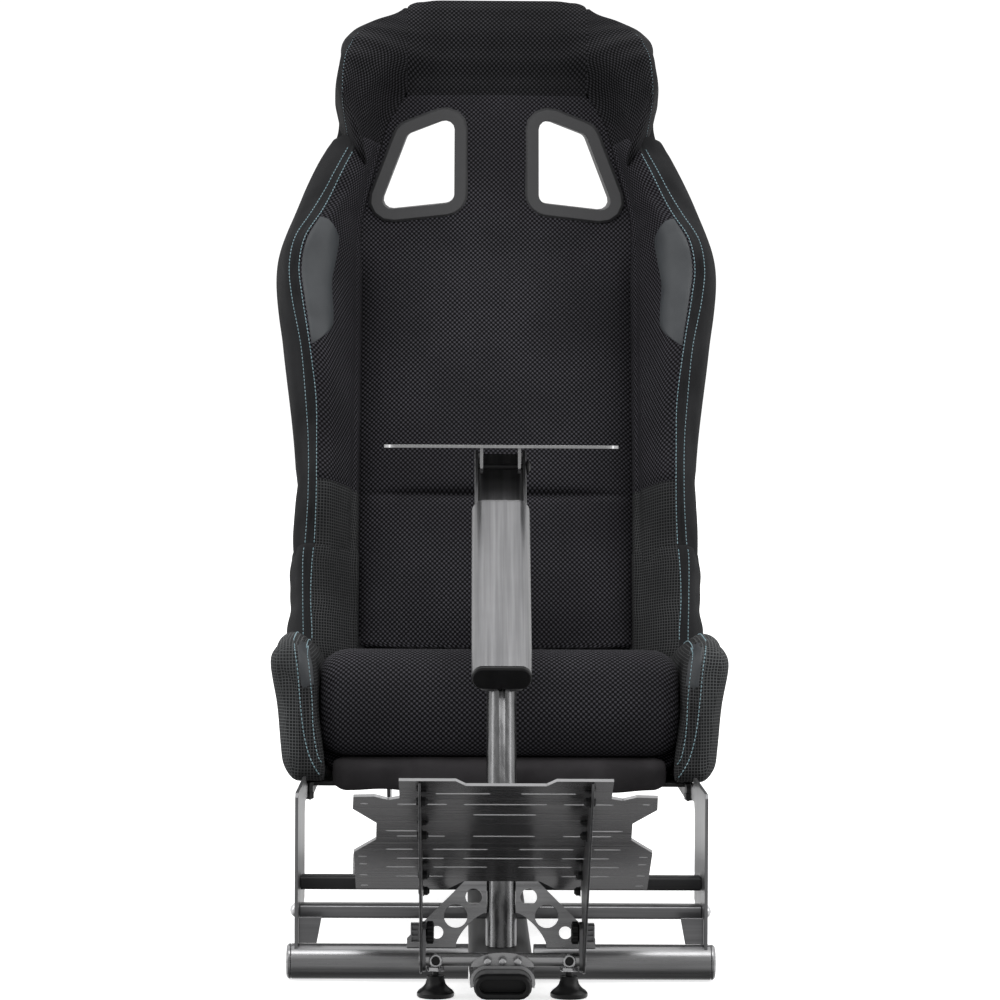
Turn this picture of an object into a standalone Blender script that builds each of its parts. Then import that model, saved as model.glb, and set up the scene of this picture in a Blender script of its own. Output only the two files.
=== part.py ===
"""Racing cockpit: a bucket seat on a floor frame, with a wheel arm and a sliding pedal deck.

Metres, +Z up. The driver faces -Y. The origin is on the floor, at the middle of the footprint.
"""

import math

import bmesh
import bpy
from mathutils import Vector

# Clearances
GAP = 0.0003
SLIDE_GAP = 0.0008
PIVOT_GAP = 0.0005

# Floor frame
FRONT_Y = -0.29
REAR_Y = 0.41
TUBE_D = 0.033
TUBE_WALL = 0.002
TUBE_OVERHANG = 0.0075
REAR_HALF = 0.16
CAP_FLANGE = 0.004
CAP_DEPTH = 0.012
SPINE_W = 0.060
SPINE_H = 0.031
SPINE_WALL = 0.003
SPINE_OVERHANG = 0.045

# Side plates and cross bars
SEAT_FLANGE = 0.0145
SIDE_T = 0.003
SIDE_LEAD = 0.010
SIDE_RISE = 0.010
SIDE_REAR = -0.060
SIDE_STEP = 0.008
SIDE_WEB = 0.127
SIDE_TONGUE = 0.009
SIDE_TOE = 0.030
SIDE_NIP = 0.004
LOWER_BAR_Z = 0.059
UPPER_BAR_Z = 0.085
BAR_DEPTH = 0.025
BAR_HEIGHT = 0.012
BAR_WALL = 0.0015
CORNER_HEAD = 0.0215
CORNER_FOOT = 0.017
CORNER_LAP = 0.0045
REAR_BRACKET_X = 0.12
REAR_BRACKET_T = 0.004

# Wheel column and arm
COLUMN_D = 0.0286
COLUMN_WALL = 0.002
COLUMN_LENGTH = 0.2645
COLUMN_LEAN = 15.0
GUSSET_RUN = 0.074
GUSSET_ARC = 0.0285
GUSSET_LEAD = 0.007
GUSSET_SINK = 0.004
GUSSET_T = 0.003
GUSSET_NIB = 0.006
GUSSET_HOLES = ((0.012, 0.0448, 0.0078), (0.0283, 0.0262, 0.0113), (0.0462, 0.0115, 0.0060))
ARM_W = 0.0572
ARM_T = 0.030
ARM_WALL = 0.002
ARM_END = 0.0105
ARM_LENGTH = 0.216
ARM_TAIL = 0.0275
ARM_TILT = 45.0
SADDLE_T = 0.004
SADDLE_LIP = 0.008
SADDLE_LENGTH = 0.075
POST_WALL = 0.003
POST_INSERT = 0.13
POST_REACH = 0.096
POST_CROWN = 0.034
PLATE_GAP = 0.0008
PLATE_TILT_LIMIT = 12.0
PLATE_LIFT = 0.0185
WHEEL_PLATE_W = 0.230
WHEEL_PLATE_DEPTH = 0.180
WHEEL_PLATE_T = 0.003
WHEEL_NOTCH_HALF = 0.035
WHEEL_NOTCH_DEPTH = 0.030
LUG_SETBACK = 0.0069
LUG_T = 0.003
LUG_R = 0.007
TILT_BOLT_D = 0.006

# Pedal carriage
CARRIAGE_AHEAD = 0.10
BEAM_LENGTH = 0.407
BEAM_NOSE = 0.037
FOOT_BAR_D = 0.0125
FOOT_BAR_BORE = 0.006
FOOT_INSET = 0.0133
FOOT_PAD_D = 0.034
FOOT_PAD_H = 0.0062
FOOT_FLARE = 0.0095
FOOT_NECK_D = 0.0162
FOOT_STUD_D = 0.006
CLIP_T = 0.003
CLIP_LENGTH = 0.030
CLIP_FACE_W = 0.057
CLIP_FACE_RISE = 0.0015
FIN_X = 0.0735
FIN_T = 0.002
EAR_T = 0.003
EAR_FOOT_R = 0.011
EAR_HEAD_R = 0.010
KNOB_D = 0.0206
KNOB_T = 0.007
KNOB_RISE = 0.0245
KNOB_RIDGES = 18
KNOB_RIDGE = 0.0009
KNOB_SCREW_D = 0.006
BLOCK_T = 0.008
BLOCK_LENGTH = 0.018
BLOCK_HEIGHT = 0.016
BLOCK_WALL = 0.0013
BLOCK_POCKET = (0.0034, 0.0045)
BLOCK_PITCH = 0.0048
PLUG_WALL = 0.002
PLUG_RECESS = 0.012
DECK_ANGLE = 25.0
DECK_TILT = 10.0
DECK_SETBACK = 0.06
DECK_RISE = 0.066
DECK_T = 0.0025
SLOT_W = 0.003

# Seat base
PAN_Z = 0.160
PAN_T = 0.004
PAN_FRONT = -0.095
PAN_REAR = 0.385
PAN_FLANGE = 0.014
CUSHION_W = 0.355
CUSHION_FRONT = -0.121
CUSHION_REAR = 0.302
CUSHION_CREST = 0.132
CUSHION_SEAT = 0.078
SKIRT_T = 0.016
BOLSTER_REAR = 0.27
BOLSTER_FRONT = -0.125
BOLSTER_FLARE = 0.049

# Backrest
BACK_Y = 0.3126
BACK_Z = 0.27
BACK_LEAN = 15.0
HINGE_H = 0.035
HINGE_N = -0.045
HINGE_R = 0.015
HINGE_EAR = 0.085
HINGE_T = 0.004
SHELL_FOOT = 0.075
SHELL_BACK = -0.075
SHELL_FRONT = -0.028
SHELL_RIM = 0.010
HOOP_D = 0.020
HOOP_INSETS = ((0.27, 0.049), (0.42, 0.0517), (0.53, 0.043), (0.57, 0.034), (0.61, 0.028),
               (0.68, 0.028), (0.722, 0.043))
HOOP_TOP_HALF = 0.06
HOOP_TOP = 0.737
BACK_FLARE = 0.0705
HEAD_HALF = 0.104
HEAD_TOP = 0.770
WING_FOOT = 0.589
RING_FLANGE = 0.016
RING_WALL = 0.003
RING_LIP = 0.005
RING_CORNER = 0.011
BELT_RISE = 5.0
PAD_MARGIN = 0.0025
NECK_MARGIN = 0.007
HEAD_MARGIN = 0.0121
HARNESS_HOLE = ((0.0486, 0.5243), (0.1365, 0.514), (0.103, 0.608), (0.0486, 0.6304))

X_AXIS = Vector((1, 0, 0))
Y_AXIS = Vector((0, 1, 0))
Z_AXIS = Vector((0, 0, 1))
SIDES = (("left", -1), ("right", 1))

# Values that follow from the driving dimensions
SIDE_OUTER = CUSHION_W / 2 + SEAT_FLANGE
SIDE_INNER = SIDE_OUTER - SIDE_T
FRONT_HALF = SIDE_OUTER + TUBE_OVERHANG
PAN_HALF = SIDE_INNER - GAP
PAN_TOP = PAN_Z + PAN_T
CARRIAGE_Y = FRONT_Y - CARRIAGE_AHEAD
FOOT_X = FIN_X - FOOT_INSET
BEAM_W = SPINE_W - 2 * SPINE_WALL - 2 * SLIDE_GAP
BEAM_H = SPINE_H - 2 * SPINE_WALL - 2 * SLIDE_GAP
BEAM_TOP = (SPINE_H + BEAM_H) / 2
FOOT_BAR_Z = BEAM_TOP + GAP + FOOT_BAR_D / 2
POST_W = ARM_W - 2 * ARM_WALL - 2 * SLIDE_GAP
POST_T = ARM_T - 2 * ARM_WALL - 2 * SLIDE_GAP
LUG_X = POST_W / 2 - LUG_SETBACK


def leaning(angle):
    """Unit vector in the sagittal plane, that many degrees back from upright."""
    return Vector((0, math.sin(math.radians(angle)), math.cos(math.radians(angle))))


COLUMN_UP = leaning(COLUMN_LEAN)
COLUMN_BASE = Vector((0, FRONT_Y, TUBE_D))
ARM_UP = leaning(ARM_TILT)
ARM_FACE = leaning(ARM_TILT - 90)
ARM_SEAT = COLUMN_BASE + COLUMN_LENGTH * COLUMN_UP
ARM_FOOT = ARM_SEAT + (ARM_T / 2 + GAP) * ARM_FACE - ARM_TAIL * ARM_UP
ARM_MOUTH = ARM_FOOT + ARM_LENGTH * ARM_UP
TILT_PIVOT = ARM_MOUTH + (POST_REACH - POST_CROWN) * ARM_UP
DECK_UP = leaning(DECK_ANGLE - 90)
DECK_FACE = leaning(DECK_ANGLE)
CARRIAGE_PIVOT = Vector((0, CARRIAGE_Y, FOOT_BAR_Z))
DECK_FOOT = CARRIAGE_PIVOT + Vector((0, DECK_SETBACK, DECK_RISE))
KNOB_CENTRE = CARRIAGE_PIVOT + KNOB_RISE * Z_AXIS
BACK_UP = leaning(BACK_LEAN)
BACK_FACE = leaning(BACK_LEAN - 90)
BACK_FOOT = Vector((0, BACK_Y, BACK_Z))
FOLD_PIVOT = BACK_FOOT + HINGE_H * BACK_UP + HINGE_N * BACK_FACE
SHELL_FLOOR = HINGE_N - HOOP_D / 2 - GAP
BACK_HALF = CUSHION_W / 2 + BACK_FLARE
PAD_HALF = HARNESS_HOLE[1][0] + RING_FLANGE + PAD_MARGIN
NECK_HALF = HARNESS_HOLE[2][0] + RING_FLANGE + NECK_MARGIN
HEAD_FOOT = HARNESS_HOLE[3][1] + RING_FLANGE + HEAD_MARGIN


def at_side(point, x):
    return Vector((x, point.y, point.z))


# Each moving body: the body that carries it and a point on its joint
BODIES = {
    "base": (None, Vector((0, 0, 0))),
    "carriage": ("base", CARRIAGE_PIVOT),
    "pedal_deck": ("carriage", CARRIAGE_PIVOT),
    "knob_left": ("carriage", at_side(KNOB_CENTRE, -FIN_X)),
    "knob_right": ("carriage", at_side(KNOB_CENTRE, FIN_X)),
    "foot_left": ("carriage", Vector((-FOOT_X, CARRIAGE_Y, 0))),
    "foot_right": ("carriage", Vector((FOOT_X, CARRIAGE_Y, 0))),
    "post": ("base", ARM_MOUTH),
    "wheel_mount": ("post", TILT_PIVOT),
    "backrest": ("base", FOLD_PIVOT),
}


# Outlines
def circle(radius, count=24):
    steps = [2 * math.pi * k / count for k in range(count)]
    return [(radius * math.cos(t), radius * math.sin(t)) for t in steps]


def arc(centre, radius, start, end, count):
    """Points on an arc, from start to end in degrees."""
    steps = [math.radians(start + (end - start) * k / count) for k in range(count + 1)]
    return [(centre[0] + radius * math.cos(t), centre[1] + radius * math.sin(t)) for t in steps]


def stadium(width, height, count=8):
    """A flat-sided oval with full round ends."""
    reach = (width - height) / 2
    right = arc((reach, 0), height / 2, -90, 90, count)
    left = arc((-reach, 0), height / 2, 90, 270, count)
    return right + left


def rounded(corners, radius, count=4):
    """A convex outline, counter-clockwise, with its corners rounded."""
    points = []
    for index, corner in enumerate(corners):
        here = Vector(corner)
        back = (Vector(corners[index - 1]) - here).normalized()
        ahead = (Vector(corners[(index + 1) % len(corners)]) - here).normalized()
        half = back.angle(ahead) / 2
        centre = here + (back + ahead).normalized() * radius / math.sin(half)
        first = here + back * radius / math.tan(half) - centre
        turn = math.pi - 2 * half
        for k in range(count + 1):
            t = turn * k / count
            c, s = math.cos(t), math.sin(t)
            points.append((centre.x + c * first.x - s * first.y, centre.y + s * first.x + c * first.y))
    return points


def widened(corners, distance):
    """The corners of a convex outline, counter-clockwise, moved out so that each edge shifts by distance."""
    moved = []
    for index, corner in enumerate(corners):
        here = Vector(corner)
        back = (Vector(corners[index - 1]) - here).normalized()
        ahead = (Vector(corners[(index + 1) % len(corners)]) - here).normalized()
        half = back.angle(ahead) / 2
        point = here - (back + ahead).normalized() * distance / math.sin(half)
        moved.append((point.x, point.y))
    return moved


def box_outline(width, height, radius, count=3):
    a, b = width / 2, height / 2
    return rounded([(-a, -b), (a, -b), (a, b), (-a, b)], radius, count)


def oval(width, height, end, count=12):
    """A flat-sided outline with half-ellipse ends."""
    right = [(width / 2 - end + end * a, height / 2 * b) for a, b in arc((0, 0), 1.0, -90, 90, count)]
    return right + [(-x, -y) for x, y in right]


def link_outline(low_radius, high_radius, length, count=8):
    """Two discs joined by tangents: one at the origin, one at length along the second axis."""
    lean = math.degrees(math.asin((low_radius - high_radius) / length))
    low = arc((0, 0), low_radius, 180 - lean, 360 + lean, count)
    high = arc((0, length), high_radius, lean, 180 - lean, count)
    return low + high


def knurled(radius, ridge, count):
    """A circle with ridges round it."""
    steps = [2 * math.pi * k / (2 * count) for k in range(2 * count)]
    radii = [radius - ridge * (k % 2) for k in range(2 * count)]
    return [(r * math.cos(t), r * math.sin(t)) for r, t in zip(radii, steps)]


def spline(points, per_span, closed=False):
    """A Catmull-Rom curve through the points."""
    count = len(points)
    spans = count if closed else count - 1
    sampled = []
    for index in range(spans):
        ids = [index - 1, index, index + 1, index + 2]
        picked = [i % count if closed else min(max(i, 0), count - 1) for i in ids]
        p0, p1, p2, p3 = (Vector(points[i]) for i in picked)
        for k in range(per_span):
            t = k / per_span
            value = 2 * p1 + (p2 - p0) * t
            value += (2 * p0 - 5 * p1 + 4 * p2 - p3) * t**2
            value += (3 * p1 - p0 - 3 * p2 + p3) * t**3
            sampled.append(tuple(value / 2))
    if not closed:
        sampled.append(tuple(points[-1]))
    return sampled


def between(keys, where):
    """Smooth value of a list of (place, value) keys."""
    if where <= keys[0][0]:
        return keys[0][1]
    for (low, first), (high, second) in zip(keys, keys[1:]):
        if where <= high:
            t = (where - low) / (high - low)
            return first + (second - first) * t * t * (3 - 2 * t)
    return keys[-1][1]


def along(keys, where):
    """Straight-line value of a list of (place, value) keys."""
    for (low, first), (high, second) in zip(keys, keys[1:]):
        if where <= high:
            return first + (second - first) * (where - low) / (high - low)
    return keys[-1][1]


# Meshes, each as points and faces
def skin(rings, loop=False):
    """Faces between rings of as many points each, with flat ends unless the rings form a loop."""
    size = len(rings[0])
    points = [p for ring in rings for p in ring]
    faces = []
    spans = len(rings) if loop else len(rings) - 1
    for span in range(spans):
        low, high = span * size, (span + 1) % len(rings) * size
        for k in range(size):
            nxt = (k + 1) % size
            faces.append((low + k, low + nxt, high + nxt, high + k))
    if not loop:
        faces.append(tuple(reversed(range(size))))
        faces.append(tuple(range(len(points) - size, len(points))))
    return points, faces


def placed(outline, origin, right, up, normal=None, depth=0.0):
    """A flat outline put in space."""
    shift = depth * normal if normal else Vector()
    return [origin + a * right + b * up + shift for a, b in outline]


def prism(outline, origin, right, up, low, high):
    normal = right.cross(up)
    return skin([placed(outline, origin, right, up, normal, depth) for depth in (low, high)])


def turned(steps, origin, axis, right, count=24):
    """A solid turned about an axis from (distance along the axis, radius) steps."""
    up = axis.cross(right)
    return skin([placed(circle(r, count), origin, right, up, axis, d) for d, r in steps])


def stepped(steps, origin, axis, right):
    """A solid from (distance along the axis, outline) steps."""
    up = axis.cross(right)
    return skin([placed(outline, origin, right, up, axis, d) for d, outline in steps])


def swept(outline, origin, axis, right, planes):
    """The outline carried along the axis and cut by each plane, as rings."""
    up = axis.cross(right)
    rings = []
    for point, normal in planes:
        ring = []
        for start in placed(outline, origin, right, up):
            ring.append(start + axis * ((point - start).dot(normal) / axis.dot(normal)))
        rings.append(ring)
    return rings


def hollow(outer, inner, origin, axis, right, planes):
    """A tube that is open at both ends."""
    out = swept(outer, origin, axis, right, planes)
    bore = swept(inner, origin, axis, right, planes)
    return skin([out[0], out[1], bore[1], bore[0]], loop=True)


def square_ends(origin, axis, start, end):
    return [(origin + start * axis, axis), (origin + end * axis, axis)]


def joined(meshes):
    points, faces = [], []
    for more_points, more_faces in meshes:
        shift = len(points)
        points += more_points
        faces += [tuple(i + shift for i in face) for face in more_faces]
    return points, faces


# Objects
def clear_scene():
    for item in list(bpy.data.objects):
        bpy.data.objects.remove(item, do_unlink=True)


def finish(name, colour, roughness, metallic):
    material = bpy.data.materials.new(name)
    material.use_nodes = True
    shader = material.node_tree.nodes["Principled BSDF"]
    shader.inputs["Base Color"].default_value = (*colour, 1)
    shader.inputs["Roughness"].default_value = roughness
    shader.inputs["Metallic"].default_value = metallic
    return material


def make_object(name, mesh_parts, body):
    """An object whose origin is on its body's joint."""
    points, faces = mesh_parts
    pivot = BODIES[body][1]
    shape = bmesh.new()
    corners = [shape.verts.new(Vector(p) - pivot) for p in points]
    for face in faces:
        shape.faces.new([corners[i] for i in face])
    bmesh.ops.recalc_face_normals(shape, faces=shape.faces)
    mesh = bpy.data.meshes.new(name)
    shape.to_mesh(mesh)
    shape.free()
    item = bpy.data.objects.new(name, mesh)
    bpy.context.scene.collection.objects.link(item)
    item.parent = bpy.data.objects[f"body_{body}"]
    return item


def add_piece(name, mesh_parts, material, body):
    piece = make_object(name, mesh_parts, body)
    piece.data.materials.append(material)
    piece.data.shade_smooth()
    piece.data.set_sharp_from_angle(angle=math.radians(40))
    return piece


def cut(piece, mesh_parts, body):
    """Takes a shape out of a piece."""
    cutter = make_object(f"{piece.name}_cut_{len(piece.modifiers)}", mesh_parts, body)
    cutter.hide_render = True
    cutter.display_type = "WIRE"
    step = piece.modifiers.new("cut", "BOOLEAN")
    step.operation = "DIFFERENCE"
    step.solver = "EXACT"
    step.object = cutter


def add_bodies():
    for name, (carrier, pivot) in BODIES.items():
        empty = bpy.data.objects.new(f"body_{name}", None)
        bpy.context.scene.collection.objects.link(empty)
        if carrier:
            empty.parent = bpy.data.objects[f"body_{carrier}"]
            empty.location = pivot - BODIES[carrier][1]


# Floor frame
def add_floor_frame(steel):
    tube, bore = circle(TUBE_D / 2), circle(TUBE_D / 2 - TUBE_WALL)
    front = Vector((0, FRONT_Y, TUBE_D / 2))
    rear = Vector((0, REAR_Y, TUBE_D / 2))
    for side, sign in SIDES:
        axis = sign * X_AXIS
        ends = square_ends(front, axis, SPINE_W / 2 + GAP, FRONT_HALF - CAP_FLANGE - GAP)
        add_piece(f"front_tube_{side}", hollow(tube, bore, front, axis, Y_AXIS, ends), steel, "base")
        for place, half, origin in (("front", FRONT_HALF, front), ("rear", REAR_HALF, rear)):
            add_piece(f"{place}_cap_{side}", tube_cap(half, origin, axis), steel, "base")
    ends = square_ends(rear, X_AXIS, CAP_FLANGE + GAP - REAR_HALF, REAR_HALF - CAP_FLANGE - GAP)
    add_piece("rear_tube", hollow(tube, bore, rear, X_AXIS, Y_AXIS, ends), steel, "base")
    spine = Vector((0, 0, SPINE_H / 2))
    ends = square_ends(spine, Y_AXIS, FRONT_Y - SPINE_OVERHANG, REAR_Y - TUBE_D / 2 - GAP)
    outer = stadium(SPINE_W, SPINE_H)
    inner = stadium(SPINE_W - 2 * SPINE_WALL, SPINE_H - 2 * SPINE_WALL)
    add_piece("spine_tube", hollow(outer, inner, spine, Y_AXIS, X_AXIS, ends), steel, "base")


def tube_cap(half, origin, axis):
    plug = TUBE_D / 2 - TUBE_WALL - GAP
    seat = half - CAP_FLANGE
    edge = CAP_FLANGE / 2
    steps = [(seat - CAP_DEPTH, plug - edge / 2), (seat, plug), (seat, TUBE_D / 2)]
    steps += [(half - edge, TUBE_D / 2), (half, TUBE_D / 2 - edge)]
    return turned(steps, origin, axis, Y_AXIS)


def tube_clearance(origin, half):
    """The space of a floor tube, for pieces that straddle it."""
    return turned([(-half, TUBE_D / 2 + GAP), (half, TUBE_D / 2 + GAP)], origin, X_AXIS, Y_AXIS)


def add_side_plates(steel):
    """The seat's front supports: a web on the floor tube with a tongue under the seat."""
    top = PAN_TOP
    front = FRONT_Y - SIDE_LEAD
    web = FRONT_Y + SIDE_WEB
    step = BOLSTER_FRONT - SIDE_STEP
    saddle = TUBE_D * 0.75
    throat = PAN_Z - SIDE_TONGUE
    outline = [(front, saddle), (front, top + SIDE_RISE - SIDE_NIP), (front + SIDE_NIP, top + SIDE_RISE)]
    outline += [(step - SIDE_RISE, top + SIDE_RISE), (step, top), (SIDE_REAR, top), (SIDE_REAR, throat)]
    outline += [(web + SIDE_RISE, throat), (web, throat - SIDE_RISE), (web, LOWER_BAR_Z)]
    outline += [(FRONT_Y + SIDE_TOE, saddle)]
    for side, sign in SIDES:
        low, high = sorted((sign * SIDE_INNER, sign * SIDE_OUTER))
        shape = prism(outline, Vector(), Y_AXIS, Z_AXIS, low, high)
        plate = add_piece(f"side_plate_{side}", shape, steel, "base")
        cut(plate, tube_clearance(Vector((0, FRONT_Y, TUBE_D / 2)), FRONT_HALF), "base")


def add_cross_bars(steel, black):
    reach = SIDE_INNER - GAP
    outer = box_outline(BAR_DEPTH, BAR_HEIGHT, 0.002)
    inner = box_outline(BAR_DEPTH - 2 * BAR_WALL, BAR_HEIGHT - 2 * BAR_WALL, 0.001)
    bars = (("lower_cross_bar", LOWER_BAR_Z, steel), ("upper_cross_bar", UPPER_BAR_Z, black))
    for name, z, material in bars:
        rise = z + BAR_HEIGHT / 2 - COLUMN_BASE.z
        lean = math.radians(COLUMN_LEAN)
        behind_column = FRONT_Y + rise * math.tan(lean) + COLUMN_D / 2 / math.cos(lean)
        middle = Vector((0, behind_column + GAP + BAR_DEPTH / 2, z))
        ends = square_ends(middle, X_AXIS, -reach, reach)
        add_piece(name, hollow(outer, inner, middle, X_AXIS, Y_AXIS, ends), material, "base")


def add_gussets(steel):
    corner_top = LOWER_BAR_Z - BAR_HEIGHT / 2 - TUBE_D + CORNER_LAP
    seat = Vector((0, FRONT_Y, TUBE_D + GAP))
    lean_seat = Vector((0, FRONT_Y - GUSSET_LEAD, TUBE_D))
    before_axis = GUSSET_LEAD * COLUMN_UP.z - GUSSET_T / 2
    inner = math.sqrt((COLUMN_D / 2) ** 2 - before_axis**2) + GAP
    for side, sign in SIDES:
        right = sign * X_AXIS
        wall = SIDE_INNER - GAP
        outline = [(wall - CORNER_FOOT, 0), (wall, 0), (wall, corner_top), (wall - CORNER_HEAD, corner_top)]
        shape = prism(outline, seat, right, Z_AXIS, -GUSSET_T / 2, GUSSET_T / 2)
        add_piece(f"corner_gusset_{side}", shape, steel, "base")
        outline = [(inner + GUSSET_RUN, -GUSSET_SINK), (inner + GUSSET_RUN, GUSSET_NIB)]
        outline += [(inner + GUSSET_NIB, GUSSET_RUN), (inner, GUSSET_RUN)]
        outline += arc((inner, 0), GUSSET_ARC, 90, 0, 8) + [(inner + GUSSET_ARC, -GUSSET_SINK)]
        shape = prism(outline, lean_seat, right, COLUMN_UP, -GUSSET_T / 2, GUSSET_T / 2)
        gusset = add_piece(f"column_gusset_{side}", shape, steel, "base")
        holes = [prism([(inner + x + a, z + b) for a, b in circle(r, 16)], lean_seat, right, COLUMN_UP,
                       -GUSSET_T, GUSSET_T) for x, z, r in GUSSET_HOLES]
        cut(gusset, joined(holes), "base")
        cut(gusset, tube_clearance(Vector((0, FRONT_Y, TUBE_D / 2)), FRONT_HALF), "base")


def add_rear_brackets(steel):
    top = PAN_Z - GAP
    saddle = TUBE_D * 0.6
    outline = [(REAR_Y - 0.026, saddle), (REAR_Y + 0.022, saddle), (REAR_Y + 0.014, TUBE_D + 0.02)]
    outline += [(PAN_REAR - 0.008, top), (PAN_REAR - 0.115, top), (REAR_Y - 0.045, TUBE_D + 0.03)]
    for side, sign in SIDES:
        low, high = sorted((sign * REAR_BRACKET_X, sign * (REAR_BRACKET_X - REAR_BRACKET_T)))
        bracket = add_piece(f"rear_bracket_{side}", prism(outline, Vector(), Y_AXIS, Z_AXIS, low, high),
                            steel, "base")
        cut(bracket, tube_clearance(Vector((0, REAR_Y, TUBE_D / 2)), REAR_HALF), "base")


# Wheel column, arm, post and plate
def add_column(steel, plastic):
    radius = COLUMN_D / 2
    underside = (ARM_SEAT, ARM_FACE)
    planes = [(Vector((0, 0, SPINE_H + GAP)), Z_AXIS), underside]
    column = hollow(circle(radius), circle(radius - COLUMN_WALL), COLUMN_BASE, COLUMN_UP, X_AXIS, planes)
    add_piece("column_tube", column, steel, "base")
    outline = box_outline(COLUMN_D + 2 * SADDLE_LIP, SADDLE_LENGTH, SADDLE_LIP)
    saddle = add_piece("arm_saddle", prism(outline, ARM_SEAT + 0.008 * ARM_UP, X_AXIS, ARM_UP,
                                           -SADDLE_T, 0.0), steel, "base")
    bore = [(-0.06, radius + GAP), (0.06, radius + GAP)]
    cut(saddle, turned(bore, ARM_SEAT, COLUMN_UP, X_AXIS), "base")
    outer, inner = arm_section(0.0), arm_section(ARM_WALL)
    ends = square_ends(ARM_FOOT, ARM_UP, 0.0, ARM_LENGTH)
    add_piece("wheel_arm", hollow(outer, inner, ARM_FOOT, ARM_UP, X_AXIS, ends), steel, "base")
    plug = arm_section(ARM_WALL + GAP)
    steps = [(0.010, plug), (-GAP, plug), (-GAP, outer), (-0.0025, outer)]
    steps += [(-0.004, arm_section(0.0015))]
    add_piece("arm_end_cap", stepped(steps, ARM_FOOT, ARM_UP, X_AXIS), plastic, "base")


def arm_section(inset):
    """The arm's outline drawn in by inset."""
    return oval(ARM_W - 2 * inset, ARM_T - 2 * inset, ARM_END - inset)


def crown_cutter():
    """All that the wheel plate sweeps as it tilts on the post."""
    tilt = math.radians(PLATE_TILT_LIMIT)
    lift = PLATE_LIFT - PLATE_GAP
    far = 3 * POST_CROWN
    eave = (lift - far * math.sin(tilt)) / math.cos(tilt)
    outline = [(-far, eave), (0, lift / math.cos(tilt)), (far, eave), (far, far), (-far, far)]
    return prism(outline, TILT_PIVOT, Y_AXIS, Z_AXIS, -POST_W, POST_W)


def add_post(steel, black):
    """A channel that slides in the arm, open to the front and reaching up to the wheel plate."""
    ends = square_ends(ARM_MOUTH, ARM_UP, -POST_INSERT, POST_REACH)
    slip = ARM_WALL + SLIDE_GAP
    channel = hollow(arm_section(slip), arm_section(slip + POST_WALL), ARM_MOUTH, ARM_UP, X_AXIS, ends)
    post = add_piece("wheel_post", channel, steel, "post")
    cut(post, crown_cutter(), "post")
    window = [(-POST_W, 0.004), (POST_W, 0.004), (POST_W, 2 * POST_REACH), (-POST_W, 2 * POST_REACH)]
    cut(post, prism(window, ARM_MOUTH, X_AXIS, ARM_UP, LUG_R * 0.6, POST_T), "post")
    drill = TILT_BOLT_D / 2 + PIVOT_GAP
    cut(post, turned([(-POST_W, drill), (POST_W, drill)], TILT_PIVOT, X_AXIS, Y_AXIS, 16), "post")
    head = POST_W / 2 + GAP
    shank = TILT_BOLT_D / 2
    steps = [(-head, shank), (head, shank), (head, 2 * shank), (head + 0.002, 2 * shank)]
    steps += [(head + 0.004, shank)]
    add_piece("tilt_bolt", turned(steps, TILT_PIVOT, X_AXIS, Y_AXIS, 16), black, "post")


def add_wheel_plate(steel):
    centre = TILT_PIVOT + Vector((0, 0.014, PLATE_LIFT))
    half, deep = WHEEL_PLATE_W / 2, WHEEL_PLATE_DEPTH / 2
    plate = add_piece("wheel_plate", prism(box_outline(WHEEL_PLATE_W, WHEEL_PLATE_DEPTH, 0.014), centre,
                                           X_AXIS, Y_AXIS, 0, WHEEL_PLATE_T), steel, "wheel_mount")
    notch = [(-WHEEL_NOTCH_HALF, -2 * deep), (WHEEL_NOTCH_HALF, -2 * deep),
             (WHEEL_NOTCH_HALF, WHEEL_NOTCH_DEPTH - deep), (-WHEEL_NOTCH_HALF, WHEEL_NOTCH_DEPTH - deep)]
    cuts = [prism(notch, centre, X_AXIS, Y_AXIS, -WHEEL_PLATE_T, 2 * WHEEL_PLATE_T)]
    for x in (0.35 * half, 0.62 * half, 0.86 * half):
        for sign in (-1, 1):
            slot = [(sign * x + b, a - 0.012) for a, b in stadium(0.07, 0.007, 3)]
            cuts.append(prism(slot, centre, X_AXIS, Y_AXIS, -WHEEL_PLATE_T, 2 * WHEEL_PLATE_T))
    for x in (-0.03, 0.0, 0.03):
        hole = [(x + a, 0.6 * deep + b) for a, b in circle(0.0035, 10)]
        cuts.append(prism(hole, centre, X_AXIS, Y_AXIS, -WHEEL_PLATE_T, 2 * WHEEL_PLATE_T))
    cut(plate, joined(cuts), "wheel_mount")
    for sign in (-1, 1):
        fuse(plate, lug(sign), "wheel_mount")
    drill = TILT_BOLT_D / 2 + PIVOT_GAP
    cut(plate, turned([(-POST_W, drill), (POST_W, drill)], TILT_PIVOT, X_AXIS, Y_AXIS, 16), "wheel_mount")


def lug(sign):
    """A tab under the wheel plate, round the tilt bolt."""
    outline = arc((0, 0), LUG_R, 180, 360, 8)
    outline += [(LUG_R, PLATE_LIFT + WHEEL_PLATE_T / 2), (-LUG_R, PLATE_LIFT + WHEEL_PLATE_T / 2)]
    low, high = sorted((sign * (LUG_X - LUG_T / 2), sign * (LUG_X + LUG_T / 2)))
    return prism(outline, TILT_PIVOT, Y_AXIS, Z_AXIS, low, high)


def fuse(piece, mesh_parts, body):
    """Joins a shape to a piece, as a weld does."""
    cut(piece, mesh_parts, body)
    piece.modifiers[-1].operation = "UNION"


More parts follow.
